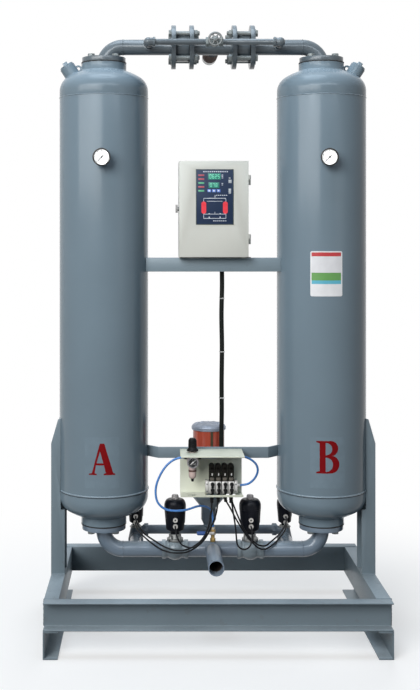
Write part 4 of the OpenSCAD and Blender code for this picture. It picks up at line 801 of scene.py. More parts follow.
primer_coat = turned(hoop(PIPE_R - 0.0002, PIPE_R + 0.0003, PRIMER_START, STUB_END - 0.0004),
                     (0, 0, OUTLET_Z), axis="Y")
fit(primer_coat, "outlet_primer_coat", primer)
cast_paint = sprayed("grey_enamel_valves", (0.168, 0.212, 0.242), 0.3, 0.16, 0.7, 0, 0.28, 0.0008, 0.4)
rounded_node("inlet_valves", 0.0022, cast_paint, segments=3)
for side, letter in SIDES:
    for where, centre, axis, radius, width in (
            ("elbow", (side * (TOWER_X - ELBOW_R), 0, INLET_Z), "X", PIPE_R, ELBOW_WELD),
            ("riser", (side * TOWER_X, 0, INLET_Z + ELBOW_R), "Z", PIPE_R, ELBOW_WELD),
            ("neck", (side * TOWER_X, 0, INLET_Z + 0.0772), "Z", PIPE_R + 0.001, FLANGE_WELD)):
        weld_bead(f"low_{where}_weld_{letter}", ring_run(centre, axis, radius), width, low_paint)
weld_bead("inlet_weld", ring_run((0, -PIPE_R - 0.001, INLET_Z), "Y", PIPE_R), BRANCH_WELD, low_paint)

# Bonnets: turned from bare steel, each bolted down on its valve with four hexagon screws
# and threaded on top for the actuator.
bonnet_steel = metal("bonnet_steel", (0.27, 0.285, 0.29), (0.16, 0.155, 0.135), 0.6, 0.28, 0.12, 0.9)
rounded_node("valve_bonnets", 0.0007, bonnet_steel)

# Actuators: moulded black nylon cylinders with a rounded shoulder, a cap joint and a narrow foot,
# screwed on the bonnets. A clear dome on top shows the end of the stem.
PURGE_Y = 0.17
moulded = clouded_group("moulded plastic", (34, 4), (1100, 2), 0.16, "Cloud", cloudy_gloss=True)


def plastic(name, colour, gloss, cloud, bump=0.1, shine=0.5, **plain):
    """A moulded plastic with faint flow clouds."""
    return finish(name, moulded, {"Colour": colour, "Gloss": gloss, "Cloud": cloud}, bump,
                  Specular_IOR_Level=shine, **plain)


black_nylon_body = plastic("black_actuator_nylon", (0.0045, 0.0055, 0.0095), 0.22, 0.5, 0.12, 0.14)


def housing_profile(d, h):
    """Half profile of an actuator: narrow foot, flaring skirt, straight body, cap joint, round shoulder."""
    r = d / 2
    shoulder = [(r * (0.60 + 0.40 * math.cos(t)), h * (0.80 + 0.20 * math.sin(t)))
                for t in (math.pi / 2 * k / 12 for k in range(13))]
    return ([(0, 0), (r * 0.42, 0), (r * 0.44, h * 0.012), (r * 0.44, h * 0.045), (r * 0.50, h * 0.065),
             (r * 0.74, h * 0.11), (r * 0.80, h * 0.125), (r * 0.825, h * 0.145), (r * 0.985, h * 0.690),
             (r * 0.965, h * 0.696), (r * 0.965, h * 0.706), (r * 0.995, h * 0.712)]
            + shoulder + [(0, h)])


# Each kind: its middle across and deep, its foot, diameter and height, and the dome's diameter.
ACTUATORS = {"inlet": (VALVE_X, 0.0, 0.32774, 0.080, 0.128, 0.028),
             "purge": (0.285, PURGE_Y, 0.31674, 0.060, 0.104, 0.024)}


def shell_strip(foot, radius, top, start, sweep, thick=0.0004):
    """A thin film on a round wall: a line from (radius, 0) up to top, spun part of a turn and thickened."""
    foot = Vector(foot)
    lead = Matrix.Rotation(math.radians(start), 3, "Z") @ Vector((1, 0, 0))
    bpy.ops.object.select_all(action="DESELECT")
    bpy.ops.mesh.primitive_plane_add(size=0.001)
    bpy.ops.object.mode_set(mode="EDIT")
    bpy.ops.mesh.merge(type="CENTER")
    bpy.ops.transform.translate(value=foot + lead * radius)
    bpy.ops.mesh.extrude_region_move(
        TRANSFORM_OT_translate={"value": lead * (top[0] - radius) + AXES["Z"] * top[1]})
    bpy.ops.mesh.select_all(action="SELECT")
    bpy.ops.mesh.spin(steps=12, angle=math.radians(sweep), center=foot, axis=(0, 0, 1))
    bpy.ops.mesh.select_all(action="SELECT")
    bpy.ops.mesh.normals_make_consistent(inside=False)
    bpy.ops.object.mode_set(mode="OBJECT")
    piece = bpy.context.object
    middle = piece.data.polygons[0].center - foot
    if piece.data.polygons[0].normal.dot(Vector((middle.x, middle.y, 0))) < 0:
        piece.data.flip_normals()
    wall = piece.modifiers.new("film", "SOLIDIFY")
    wall.thickness = thick
    wall.offset = 1
    bpy.ops.object.modifier_apply(modifier="film")
    return piece


white_film = vinyl("white_strip_film", (0.72, 0.73, 0.72), 0.35)
housings, strips = [], []
for x, y, z, d, h, _ in ACTUATORS.values():
    for side, _ in SIDES:
        housings.append(turned(housing_profile(d, h), (side * x, y, z), steps=64))
        strips.append(shell_strip((side * x, y, z + h * 0.30), d * 0.4525, (d * 0.4735, h * 0.26), 0, -52))
fit(joined(housings), "actuator_bodies", black_nylon_body, instead_of=["actuator_housings"])
fit(joined(strips), "actuator_strips", white_film)

# Ports: nickelled push-in fittings with a release ring, screwed into the front of each actuator,
# one for the lower side of the piston and one for the upper.
port_nickel = metal("port_nickel", (0.62, 0.61, 0.59), (0.33, 0.30, 0.26), 0.5, 0.16, 0.08, 0.95)
rounded_node("port_fittings", 0.0009, port_nickel, segments=3)

# Indicator domes: clear polycarbonate caps screwed on the actuators,
# with a rosy button on the stem's end that rises inside when the valve opens.
DOME_H, DOME_WALL, DOME_LIP = 0.0155, 0.0018, 0.0012


def see_through(name, colour, through, ior, scale, smear, haze):
    """A clear material whose polish changes a little over the surface."""
    material = bpy.data.materials.new(name)
    material.use_nodes = True
    tree = material.node_tree
    shader = tree.nodes["Principled BSDF"]
    smears = noise_node(tree, scale, 3, tree.nodes.new("ShaderNodeTexCoord").outputs["Object"])
    tree.links.new(math_node(tree, "MULTIPLY_ADD", smears, smear, haze), shader.inputs["Roughness"])
    for socket, value in (("Base Color", (*colour, 1)), ("Transmission Weight", through), ("IOR", ior)):
        shader.inputs[socket].default_value = value
    return material


dome_clear = see_through("clear_dome", (0.50, 0.48, 0.48), 0.55, 1.45, 90, 0.2, 0.06)
button_rose = plastic("indicator_rose", (0.30, 0.22, 0.21), 0.35, 0.3)
domes = []
for kind, (x, y, z, d, h, dome_d) in ACTUATORS.items():
    r = dome_d / 2
    outer = [(r + DOME_LIP, 0), (r + DOME_LIP, 0.0018), (r, 0.0026), (r * 0.90, DOME_H * 0.66)] + [
        (r * (0.58 + 0.32 * math.cos(t)), DOME_H * (0.66 + 0.34 * math.sin(t)))
        for t in (math.pi / 2 * k / 8 for k in range(1, 9))] + [(0, DOME_H)]
    inner = [(0, DOME_H - DOME_WALL), (r * 0.55, DOME_H - DOME_WALL), (r * 0.90 - DOME_WALL, DOME_H * 0.62),
             (r - DOME_WALL, 0), (r + DOME_LIP, 0)]
    for side, letter in SIDES:
        domes.append(turned(outer + inner, (side * x, y, z + h), steps=40))
        button = turned([(0.0, 0.0008), (r * 0.36, 0.0008), (r * 0.40, 0.0012), (r * 0.40, 0.0023),
                         (r * 0.34, 0.0029), (0, 0.0029)], (side * x, y, z + h), steps=32)
        fit(button, f"indicator_{kind}_{letter}", button_rose, f"stem_{kind}_{letter}")
fit(joined(domes), "clear_domes", dome_clear, instead_of=["indicator_domes"])

# Purge valves and exhaust manifold: cast cones under the rear actuators, screwed to a steel cross pipe
# through hexagon unions; all painted with the pipes, drawn in a darker copy of their enamel as painted shade.
shaded_paint = sprayed("grey_enamel_exhaust_painted_shade", (0.112, 0.146, 0.186), 0.3, 0.26, 0.6, 0.1, 0.2, 0.0006, 0.25)
for casting in ("purge_valves", "purge_manifold"):
    rounded_node(casting, 0.0012, shaded_paint)
MUFFLER_X, MUFFLER_Z = -0.006, 0.43674
weld_bead("manifold_weld", ring_run((MUFFLER_X, PURGE_Y, 0.3157), "Z", 0.0186), 0.0022, low_paint)

# Muffler: a lacquered round element between a cast foot and a ridged aluminium cap,
# all clamped on the manifold by one long bolt.
MUFFLER_R, MUFFLER_H, CAP_R, CAP_H = 0.060, 0.246, 0.064, 0.025
MUFFLER_FOOT = Vector((MUFFLER_X, PURGE_Y, MUFFLER_Z))
lacquer, lacquer_in, lacquer_out = effect_group("lacquered element", (
    ("Colour", COLOUR, (0.4, 0.05, 0.03, 1)), ("Dark", COLOUR, (0.1, 0.02, 0.02, 1)),
    ("Gloss", FLOAT, 0.2)), SURFACE)
lacquer_at = lacquer.nodes.new("ShaderNodeTexCoord").outputs["Object"]
stretch = lacquer.nodes.new("ShaderNodeMapping")
stretch.inputs["Scale"].default_value = (1, 1, 0.06)
lacquer.links.new(lacquer_at, stretch.inputs["Vector"])
streak = noise_node(lacquer, 90, 4, stretch.outputs["Vector"])
mesh_grain = noise_node(lacquer, 700, 2, lacquer_at)
# Darker vertical streaks in the colour are painted reflections on the glossy element.
painted_reflection_streaks = math_node(lacquer, "MULTIPLY", math_node(lacquer, "POWER", streak, 2.0), 1.6)
link_nodes(lacquer, (mixed(lacquer, painted_reflection_streaks,
                           *(lacquer_in.outputs[shade] for shade in ("Colour", "Dark"))),
                     lacquer_out.inputs["Colour"]),
           (math_node(lacquer, "MULTIPLY_ADD", mesh_grain, 0.16, lacquer_in.outputs["Gloss"]),
            lacquer_out.inputs["Roughness"]), (streak, lacquer_out.inputs["Height"]))
muffler_red = finish("muffler_lacquer", lacquer,
                     {"Colour": (0.50, 0.092, 0.050), "Dark": (0.20, 0.034, 0.024), "Gloss": 0.13}, bump=0.05)
cast_foot = turned([(0.0280, -0.0530), (0.0300, -0.0528), (0.0318, -0.0500), (0.0600, -0.0150),
                    (0.0636, -0.0100), (0.0642, -0.0080), (0.0642, 0.0140), (0.0636, 0.0150), (0.0604, 0.0150),
                    (0.0604, -0.0080), (0.0280, -0.0530)], MUFFLER_FOOT, steps=96)
fit(cast_foot, "muffler_cast_foot", cast_paint)
element_half = [(MUFFLER_R - 0.010, 0), (MUFFLER_R - 0.002, 0), (MUFFLER_R, 0.002),
                (MUFFLER_R, MUFFLER_H * 0.49), (MUFFLER_R - 0.0006, MUFFLER_H * 0.497)]
element = turned(element_half + [(r, MUFFLER_H - z) for r, z in reversed(element_half)] + element_half[:1],
                 MUFFLER_FOOT, steps=96)
fit(element, "muffler_lacquered", muffler_red, instead_of=["muffler_element"])
cap_metal = metal("cap_aluminium", (0.33, 0.37, 0.44), (0.20, 0.23, 0.29), 0.7, 0.30, 0.12, 0.55)
ridge = [(CAP_R, 0.0)]
for k in range(2):
    low = 0.0015 + k * 0.0055
    ridge += [(CAP_R, low), (CAP_R + 0.0015, low + 0.0012), (CAP_R + 0.0015, low + 0.0032),
              (CAP_R, low + 0.0044)]
crown = [(CAP_R * c, CAP_H * s) for c, s in (
    (1.0, 0.5), (0.985, 0.58), (0.95, 0.68), (0.88, 0.78), (0.76, 0.88), (0.58, 0.95), (0.36, 0.985),
    (0.17, 0.995), (0.16, 1.0))]
bolt_end = [(0.0085, CAP_H), (0.0085, CAP_H + 0.0004), (0.0, CAP_H + 0.0004)]
cap_foot = MUFFLER_FOOT + AXES["Z"] * MUFFLER_H
cap = turned([(0, 0)] + ridge + crown + bolt_end, cap_foot, steps=96)
ribs = []
for k in range(12):
    turn = 2 * math.pi * k / 12
    way = Vector((math.cos(turn), math.sin(turn), 0))
    ribs.append(bead_run([cap_foot + way * (CAP_R * c) + AXES["Z"] * (CAP_H * s) for c, s in (
        (0.30, 0.985), (0.58, 0.94), (0.76, 0.87), (0.88, 0.77), (0.95, 0.67))], 0.0016))
fit(joined([cap] + ribs), "muffler_cap_ridged", cap_metal, instead_of=["muffler_cap"])
# A narrow dark greenish band runs up the element's front.
dark_green_band = finish("muffler_dark_band", lacquer,
                    {"Colour": (0.075, 0.062, 0.030), "Dark": (0.030, 0.028, 0.018), "Gloss": 0.30}, bump=0.08)
dark_band_strip = shell_strip(MUFFLER_FOOT + AXES["Z"] * 0.002, MUFFLER_R, (MUFFLER_R, MUFFLER_H - 0.004), -77, 9)
fit(dark_band_strip, "muffler_dark_band_strip", dark_green_band)

# Control cabinet: folded sheet steel with a pan door on two pin hinges, powder coated warm white with
# a fine texture, standing on the upper crossbar. A zinc wing lock sits on the door's left edge.
POWDER = (0.600, 0.612, 0.570)
powder = clouded_group("powder coat", (9, 4), (850, 3), 0.2, "Cloud")
cabinet_coat = finish("cabinet_powder_coat", powder, {"Colour": POWDER, "Gloss": 0.48, "Cloud": 0.08},
                      bump=0.16, depth=0.0004, Specular_IOR_Level=0.3)
rounded_node("control_cabinet", 0.0011, cabinet_coat)
rounded_node("cabinet_door", 0.0018, cabinet_coat, segments=3)
lock_zinc = metal("lock_zinc", (0.24, 0.24, 0.235), (0.13, 0.13, 0.13), 0.7, 0.34, 0.12, 0.85)
rounded_node("door_lock", 0.0012, lock_zinc, segments=3)

# Front panel: a printed membrane with two lit number windows, status lamps, three keys and a flow sketch,
# glued over the controller in the door's window. The raised fields are thin printed pads.
PANEL_W, PANEL_H = 0.136, 0.200
panel_low, panel_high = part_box("display_panel")
PAD = 0.00035
membrane = vinyl("navy_membrane", (0.012, 0.026, 0.064), 0.34, 0.05, 0.2)
rounded_node("display_panel", 0.0005, membrane)


def block(low, high, edge=0.0, segments=2):
    """A box from corner to corner: a cube primitive at its size and place, its edges bevelled."""
    low, high = Vector(low), Vector(high)
    bpy.ops.object.select_all(action="DESELECT")
    bpy.ops.mesh.primitive_cube_add(size=1)
    bpy.ops.object.mode_set(mode="EDIT")
    bpy.ops.transform.resize(value=high - low)
    bpy.ops.transform.translate(value=(low + high) / 2)
    if edge:
        bpy.ops.mesh.bevel(offset=edge, segments=segments, affect="EDGES")
    bpy.ops.object.mode_set(mode="OBJECT")
    piece = bpy.context.object
    bpy.ops.object.shade_smooth_by_angle(angle=math.radians(40))
    return piece


door_low, door_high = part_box("cabinet_door")
# A dark strip along the door's bottom edge is painted shade under the door.
door_shade_strip = block((door_low.x + 0.0015, door_low.y - 0.0003, door_low.z + 0.0004),
                  (door_high.x - 0.0015, door_low.y + 0.0012, door_low.z + 0.0032), 0.0003)
fit(door_shade_strip, "door_bottom_shade_strip", gasket_fibre, "door")


def pad(across, down, wide, high, edge=0.0001, lift=1.0):
    """A printed pad on the panel: left top corner and size in hundredths of the panel's width and height."""
    left = panel_low.x + PANEL_W * across / 100
    top = panel_high.z - PANEL_H * down / 100
    return block((left, panel_low.y - PAD * lift, top - PANEL_H * high / 100),
                 (left + PANEL_W * wide / 100, panel_low.y + 0.0006, top), edge)


def printed(name, pads, colour, glow=0.0, gloss=0.3):
    """Pads of one colour joined into a piece on the door; lit ones also shine a little."""
    material = vinyl(name, colour, gloss)
    if glow:
        shader = material.node_tree.nodes["Principled BSDF"]
        group = next(n for n in material.node_tree.nodes if n.type == "GROUP")
        material.node_tree.links.new(group.outputs["Colour"], shader.inputs["Emission Color"])
        shader.inputs["Emission Strength"].default_value = glow
    return fit(joined(pads), name, material, "door")


SEGMENTS = {"0": "abcdef", "2": "abged", "5": "afgcd", "6": "afgedc", "7": "abc", "8": "abcdefg"}
SEGMENT_BARS = {"a": (0.1, 0.0, 0.8, 0.12), "b": (0.82, 0.06, 0.18, 0.42), "c": (0.82, 0.52, 0.18, 0.42),
                "d": (0.1, 0.88, 0.8, 0.12), "e": (0.0, 0.52, 0.18, 0.42), "f": (0.0, 0.06, 0.18, 0.42),
                "g": (0.1, 0.44, 0.8, 0.12)}


def lit_number(digits, across, down, wide, high, gap):
    """Seven-bar digits of a number window."""
    bars = []
    for place, digit in enumerate(digits):
        for bar in SEGMENTS[digit]:
            x, y, w, h = SEGMENT_BARS[bar]
            bars.append(pad(across + place * (wide + gap) + x * wide, down + y * high, w * wide, h * high,
                            0, 1.8))
    return bars


printed("number_windows", [pad(32, 7.4, 34, 11.4), pad(33.5, 23.6, 28.5, 10.2)], (0.012, 0.155, 0.120), 0.25)
printed("lit_numbers", lit_number("0625", 36, 9.4, 5.0, 7.4, 2.2)
        + lit_number("078", 37.5, 25.6, 4.8, 6.2, 2.4), (0.16, 0.62, 0.42), 0.45)
for lamp_name, lamp_downs, lamp_colour in (("lamps_red", (9.4, 16.4, 30.4), (0.36, 0.060, 0.085)),
                                           ("lamps_green", (23.4, 37.4), (0.085, 0.36, 0.20))):
    printed(lamp_name, [pad(6.5, down, 15.5, 3.0) for down in lamp_downs], lamp_colour, 0.15)
printed("panel_keys", [pad(31 + 12.2 * k, 36.2, 9.4, 5.2, 0.0003, 1.6) for k in range(3)], (0.10, 0.22, 0.66))
printed("key_marks", [pad(33.6 + 12.2 * k, 37.4, 4.2, 2.6, 0, 2.2) for k in range(3)], (0.74, 0.78, 0.86))
SKETCH_LINES = ((20, 51.8, 60, 1.0), (29, 57.2, 41, 0.8), (50, 46.4, 1.2, 5.4), (20, 80.4, 60, 0.9),
                (20, 88.0, 60, 1.0), (20, 51.8, 1.2, 7.0), (78.8, 51.8, 1.2, 7.0), (20, 79.4, 1.2, 9.6),
                (78.8, 79.4, 1.2, 9.6), (49.6, 76.6, 1.2, 4.6), (33.5, 79.2, 3.4, 1.9), (62.5, 79.2, 3.4, 1.9),
                (33.5, 85.6, 3.4, 1.9), (62.5, 85.6, 3.4, 1.9))
# Rows of small marks: the first mark, the step across and down to the next, and how many.
MARK_ROWS = (((53, 46.2, 3.4, 1.4), 5.2, 0, 6), ((46, 92.2, 3.4, 1.5), 5.2, 0, 7),
             ((19.5, 3.4, 3.6, 2.0), 5.6, 0, 12), ((68, 10, 4.0, 1.2), 0, 2.6, 3),
             ((68, 25, 4.0, 1.2), 0, 2.8, 2))
sketch = [pad(*line, 0) for line in SKETCH_LINES]
sketch += [pad(across + step * k, down + drop * k, wide, high, 0)
           for (across, down, wide, high), step, drop, count in MARK_ROWS for k in range(count)]
printed("flow_sketch", sketch, (0.62, 0.67, 0.76))
printed("panel_symbols", [pad(86.5, 19.0, 8.0, 6.0), pad(86.5, 35.0, 6.4, 9.0), pad(87.0, 14.8, 4.6, 2.2, 0)],
        (0.40, 0.44, 0.48))


def rod(radius, low, high):
    """Half profile of a plain round bar or disc."""
    return [(0, low), (radius, low), (radius, high), (0, high)]


CAPSULE_W, CAPSULE_TOP, CAPSULE_H = 12.6, 62.4, 13.6
capsules = []
for across in (14.6, 71.6):
    capsules.append(pad(across, CAPSULE_TOP, CAPSULE_W, CAPSULE_H, 0))
    for down in (CAPSULE_TOP, CAPSULE_TOP + CAPSULE_H):
        capsules.append(turned(rod(PANEL_W * CAPSULE_W / 200, -PAD, 0.0006),
                               (panel_low.x + PANEL_W * (across + CAPSULE_W / 2) / 100, panel_low.y,
                                panel_high.z - PANEL_H * down / 100), axis="Y", steps=32))
printed("sketch_towers", capsules, (0.66, 0.026, 0.044), 0.2)
edge_strips = [pad(0.6, 0.4, 98.8, 0.9, 0), pad(0.6, 98.7, 98.8, 0.9, 0), pad(0.6, 0.4, 1.3, 99.2, 0),
               pad(98.1, 0.4, 1.3, 99.2, 0)]
printed("panel_border", edge_strips, (0.045, 0.065, 0.055))

# Pressure gauges: pressed black cases with a rolled bezel, a white enamelled dial with ticks and figures,
# a dark pointer on a pin and a flat glass. One on each tower, and a small dark one on the regulator.
black_enamel = sprayed("black_gauge_enamel", (0.011, 0.012, 0.013), 0.4, 0.22, 0.03, 0, 0.08, 0.0003)
dial_white = vinyl("dial_white", (0.80, 0.81, 0.80), 0.42, 0.03)
dial_black = vinyl("dial_black", (0.012, 0.013, 0.015), 0.42, 0.03)
ink_black = vinyl("dial_ink", (0.016, 0.016, 0.018), 0.5, 0.02)
ink_white = vinyl("dial_ink_white", (0.74, 0.75, 0.75), 0.5, 0.02)
bezel_chrome = metal("bezel_chrome", (0.30, 0.30, 0.31), (0.16, 0.16, 0.17), 0.5, 0.16, 0.04, 1.0)
repaint("gauge_glasses", see_through("gauge_glass", (0.985, 0.99, 0.99), 1.0, 1.12, 60, 0.06, 0.0))
SWEEP_START, SWEEP, TICKS = 225, 270, 40


def dial_mark(centre, angle, inner, outer, wide, thick):
    """One tick of a dial that faces forward, from an inner to an outer radius."""
    tick = block((inner, -thick, -wide / 2), (outer, thick, wide / 2))
    tick.rotation_euler = (0, -math.radians(angle), 0)
    tick.location = centre
    return settled(tick)


def dial_figure(text, centre, angle, radius, size):
    """A figure of a dial, upright, made a mesh before it is set in place."""
    bpy.ops.object.select_all(action="DESELECT")
    bpy.ops.object.text_add()
    figure = bpy.context.object
    figure.data.body = text
    figure.data.size = size
    figure.data.align_x = "CENTER"
    figure.data.align_y = "CENTER"
    figure.data.extrude = 0.00006
    bpy.ops.object.convert(target="MESH")
    figure = bpy.context.object
    turn = math.radians(angle)
    figure.rotation_euler = (math.radians(90), 0, 0)
    figure.location = Vector(centre) + Vector((math.cos(turn), 0, math.sin(turn))) * radius
    return settled(figure)


def dial_gauge(name, centre, front, diameter, depth, shank, inks, figures):
    """Case, bezel, dial, ticks and figures of one gauge; centre gives the axis, front the bezel's face."""
    r = diameter / 2
    place = Vector((centre[0], front, centre[2]))
    case = turned([(0.0, depth), (r - 0.006, depth), (r - 0.002, depth - 0.003), (r - 0.0008, depth - 0.008),
                   (r - 0.0008, 0.0052), (r - 0.004, 0.0052), (r - 0.004, 0.0093), (0, 0.0093)],
                  place, axis="Y", steps=72)
    reach = depth + (0.0105 if shank > 0.012 else 0.006)
    post = block((place.x - shank / 2, front + depth - 0.001, place.z - shank / 2),
                 (place.x + shank / 2, front + reach, place.z + shank / 2), 0.0008)
    bezel = turned([(r - 0.0030, 0.0028), (r - 0.0034, 0.0012), (r - 0.0026, 0.0002), (r - 0.0008, 0.0),
                    (r + 0.0006, 0.0007), (r + 0.001, 0.0020), (r + 0.001, 0.0044), (r + 0.0004, 0.0056),
                    (r - 0.0030, 0.0056), (r - 0.0030, 0.0028)], place, axis="Y", steps=72)
    dial = turned(rod(r - 0.0042, 0.0085, 0.0093), place, axis="Y", steps=64)
    spot = place + Vector((0, 0.00845, 0))
    marks = []
    for k in range(TICKS + 1):
        long = k % 5 == 0
        marks.append(dial_mark(spot, SWEEP_START - SWEEP * k / TICKS, r * (0.66 if long else 0.73), r * 0.80,
                               r * (0.034 if long else 0.016), 0.0001))
    for k, figure in enumerate(figures):
        angle = SWEEP_START - SWEEP * k / (len(figures) - 1)
        marks.append(dial_figure(figure, spot, angle, r * 0.52, r * 0.24))
    case_coat, bezel_coat, dial_coat, ink = inks
    fit(dial, f"{name}_dial", dial_coat)
    fit(joined(marks), f"{name}_marks", ink)
    fit(bezel, f"{name}_bezel", bezel_coat)
    return fit(joined([case, post]), f"{name}_case", case_coat)


for side, letter in SIDES:
    tower_gauge = dial_gauge(f"tower_gauge_{letter}", (side * TOWER_X, 0, GAUGE_Z), -0.2085, 0.062, 0.026,
                             0.014, (black_enamel, black_enamel, dial_white, ink_black),
                             ("0", "4", "8", "12", "16"))
    repaint(f"gauge_pointer_{letter}", ink_black)
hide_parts("gauge_cases")
PILOT_SPOT = Vector((-0.078, -0.1523, 0.619))
dial_gauge("pilot_gauge", PILOT_SPOT, -0.158, 0.038, 0.020, 0.010,
           (black_enamel, bezel_chrome, dial_black, ink_white), ("0", "5", "10"))
needle = block((-0.0085, -0.0004, -0.0009), (0.0130, 0.0004, 0.0009), 0.0002)
needle.rotation_euler = (0, -math.radians(40), 0)
needle.location = PILOT_SPOT
needle_pin = turned([(0, -0.0007), (0.0022, -0.0007), (0.0026, 0.0002), (0.0026, 0.0007), (0.0009, 0.0007),
                     (0.0009, 0.0040), (0, 0.0040)], PILOT_SPOT, axis="Y", steps=24)
fit(joined([settled(needle), needle_pin]), "pilot_needle", ink_white, "pointer_pilot",
    ["pilot_pointer"])

# Pilot bracket: a folded sheet with a deep top shelf and a shallow tray, powder coated cream, screwed
# to the lower crossbar. It carries the filter regulator and the solenoid valves.
bracket_coat = finish("bracket_powder_coat", powder,
                      {"Colour": (0.610, 0.640, 0.535), "Gloss": 0.36, "Cloud": 0.12}, bump=0.14, depth=0.0004)
rounded_node("pilot_bracket", 0.0009, bracket_coat, segments=3)

# Filter regulator: a die-cast body with a rosy clear bowl, a dark clamp ring and a drain, hung through the
# shelf by its neck, with black push-in elbows. The black knob on top sets the pressure.
REG_X, REG_Y, REG_Z, PORT_Z = -0.078, -0.113, 0.603, 0.630
REG_FOOT = (REG_X, REG_Y, REG_Z)
body_pink = plastic("regulator_body", (0.40, 0.33, 0.31), 0.34, 0.25)
bowl_pink = plastic("filter_bowl", (0.56, 0.43, 0.40), 0.14, 0.45, 0.04, Coat_Weight=0.4)
ring_brown = plastic("clamp_ring", (0.065, 0.022, 0.014), 0.32, 0.4)
fitting_black = plastic("fitting_black", (0.0050, 0.0055, 0.0062), 0.30, 0.4, 0.08, 0.12)
regulator = [block((REG_X - 0.020, REG_Y - 0.020, REG_Z), (REG_X + 0.020, REG_Y + 0.020, REG_Z + 0.044),
                   0.004, 3),
             turned([(0.0, 0.0), (0.014, 0.0), (0.014, 0.0055), (0.0132, 0.0065), (0.0, 0.0065)],
                    (REG_X, REG_Y, REG_Z + 0.0435), steps=40)]
fit(joined(regulator), "regulator_body", body_pink, instead_of=["filter_regulator"])
bowl = turned([(0, -0.0485), (0.006, -0.0485), (0.0102, -0.0465), (0.0128, -0.0420), (0.0136, -0.036),
               (0.0138, -0.0235), (0.0132, -0.0225), (0.0132, -0.0172), (0.0136, -0.0165), (0.0136, 0.0),
               (0, 0.0)], REG_FOOT, steps=56)
fit(bowl, "filter_bowl", bowl_pink)
clamp = turned([(0.0130, -0.0238), (0.0142, -0.0236), (0.0146, -0.0226), (0.0146, -0.0182), (0.0142, -0.0172),
                (0.0130, -0.017), (0.0130, -0.0238)], REG_FOOT, steps=56)
fit(clamp, "bowl_clamp_ring", ring_brown)
drain = turned([(0, -0.0595), (0.0035, -0.0595), (0.0048, -0.0585), (0.0048, -0.0525), (0.0062, -0.0515),
                (0.0062, -0.0480), (0, -0.0480)], REG_FOOT, steps=32)
fit(drain, "bowl_drain", fitting_black)
collar_profile = [(0.0043, 0.0), (0.0075, 0.0), (0.0075, 0.006), (0.0066, 0.0072), (0.0066, 0.0098),
                  (0.0060, 0.0116), (0.0043, 0.0119), (0.0043, 0.0)]
collars = [aimed(turned(collar_profile, (0, 0, 0), steps=32), (REG_X + way * 0.020, REG_Y, PORT_Z), (way, 0, 0))
           for way in (-1, 1)]
fit(joined(collars), "regulator_collars", fitting_black)
KNOB_Z, KNOB_TOP = 0.6534, 0.0456
knob = turned([(0, 0), (0.0200, 0), (0.0210, 0.0010), (0.0210, 0.0042), (0.0200, 0.0056), (0.0172, 0.0082),
               (0.0154, 0.0110), (0.0146, 0.0140), (0.0138, 0.038), (0.0134, 0.0405), (0.0120, 0.0432),
               (0.0095, KNOB_TOP), (0.0060, KNOB_TOP), (0.0055, KNOB_TOP - 0.0006), (0, KNOB_TOP - 0.0006)],
              (REG_X, REG_Y, KNOB_Z), steps=64)
grips = []
for k in range(24):
    turn = 2 * math.pi * k / 24
    grips.append(bead_run([(REG_X + math.cos(turn) * r, REG_Y + math.sin(turn) * r, KNOB_Z + h)
                           for r, h in ((0.0146, 0.0145), (0.0138, 0.0385))], 0.0008))
knob_pin = turned(rod(0.0049, -0.012, 0.001), (REG_X, REG_Y, KNOB_Z), steps=24)
fit(joined([knob, knob_pin] + grips), "regulator_knob_grip", fitting_black, "knob",
    ["regulator_knob"])

# Solenoid valves: four slim valves in a row on a manifold, each a bare aluminium body with black tube
# fittings and a moulded coil with a lamp, a hand button and a plug cap. Two end plates clamp the row.
SOL_X, SOL_PITCH, SOL_W, SOL_Z, SOL_FRONT, SOL_BACK = -0.008, 0.023, 0.0214, 0.499, -0.112, -0.080
SOL_COUNT = 4
coil_top = [(0, -0.014), (0.0094, -0.014), (0.0102, -0.0132), (0.0102, 0.0132), (0.0094, 0.014), (0, 0.014)]
coil_button = [(0.0066, 0.0), (0.0082, -0.0006), (0.0082, -0.0016), (0.0070, -0.0022), (0.0066, 0.0)]
fitting_neck = [(0, -0.0085), (0.0050, -0.0085), (0.0064, -0.0078), (0.0070, -0.0060), (0.0072, -0.0010),
                (0.0072, 0.001), (0, 0.001)]
fitting_elbow = [(0, -0.0120), (0.0034, -0.0120), (0.0046, -0.0110), (0.0050, -0.0095), (0.0050, 0.0030),
                 (0.0040, 0.0052), (0.0022, 0.0064), (0, 0.0068)]
foot_fitting = [(0.0033, -0.0120), (0.0050, -0.0120), (0.0055, -0.0108), (0.0055, -0.0070), (0.0048, -0.0062),
                (0.0055, -0.0050), (0.0055, 0.001), (0.0033, 0.001), (0.0033, -0.0120)]
screw_head = [(0, -0.0016), (0.0022, -0.0016), (0.0028, -0.0010), (0.0028, 0.0005), (0, 0.0005)]
valve_aluminium = metal("valve_aluminium", (0.60, 0.60, 0.59), (0.40, 0.39, 0.37), 0.6, 0.30, 0.14, 0.75)
rounded_node("solenoid_manifold", 0.0009, valve_aluminium)
coil_black = plastic("coil_black", (0.0062, 0.0056, 0.0042), 0.40, 0.5, 0.12, 0.12)
cap_grey = plastic("plug_cap_grey", (0.085, 0.075, 0.060), 0.22, 0.6, 0.08)
lamp_white = plastic("lamp_white", (0.74, 0.74, 0.72), 0.20, 0.1)
coils, valve_bodies, fittings, lamps, caps = [], [], [], [], []
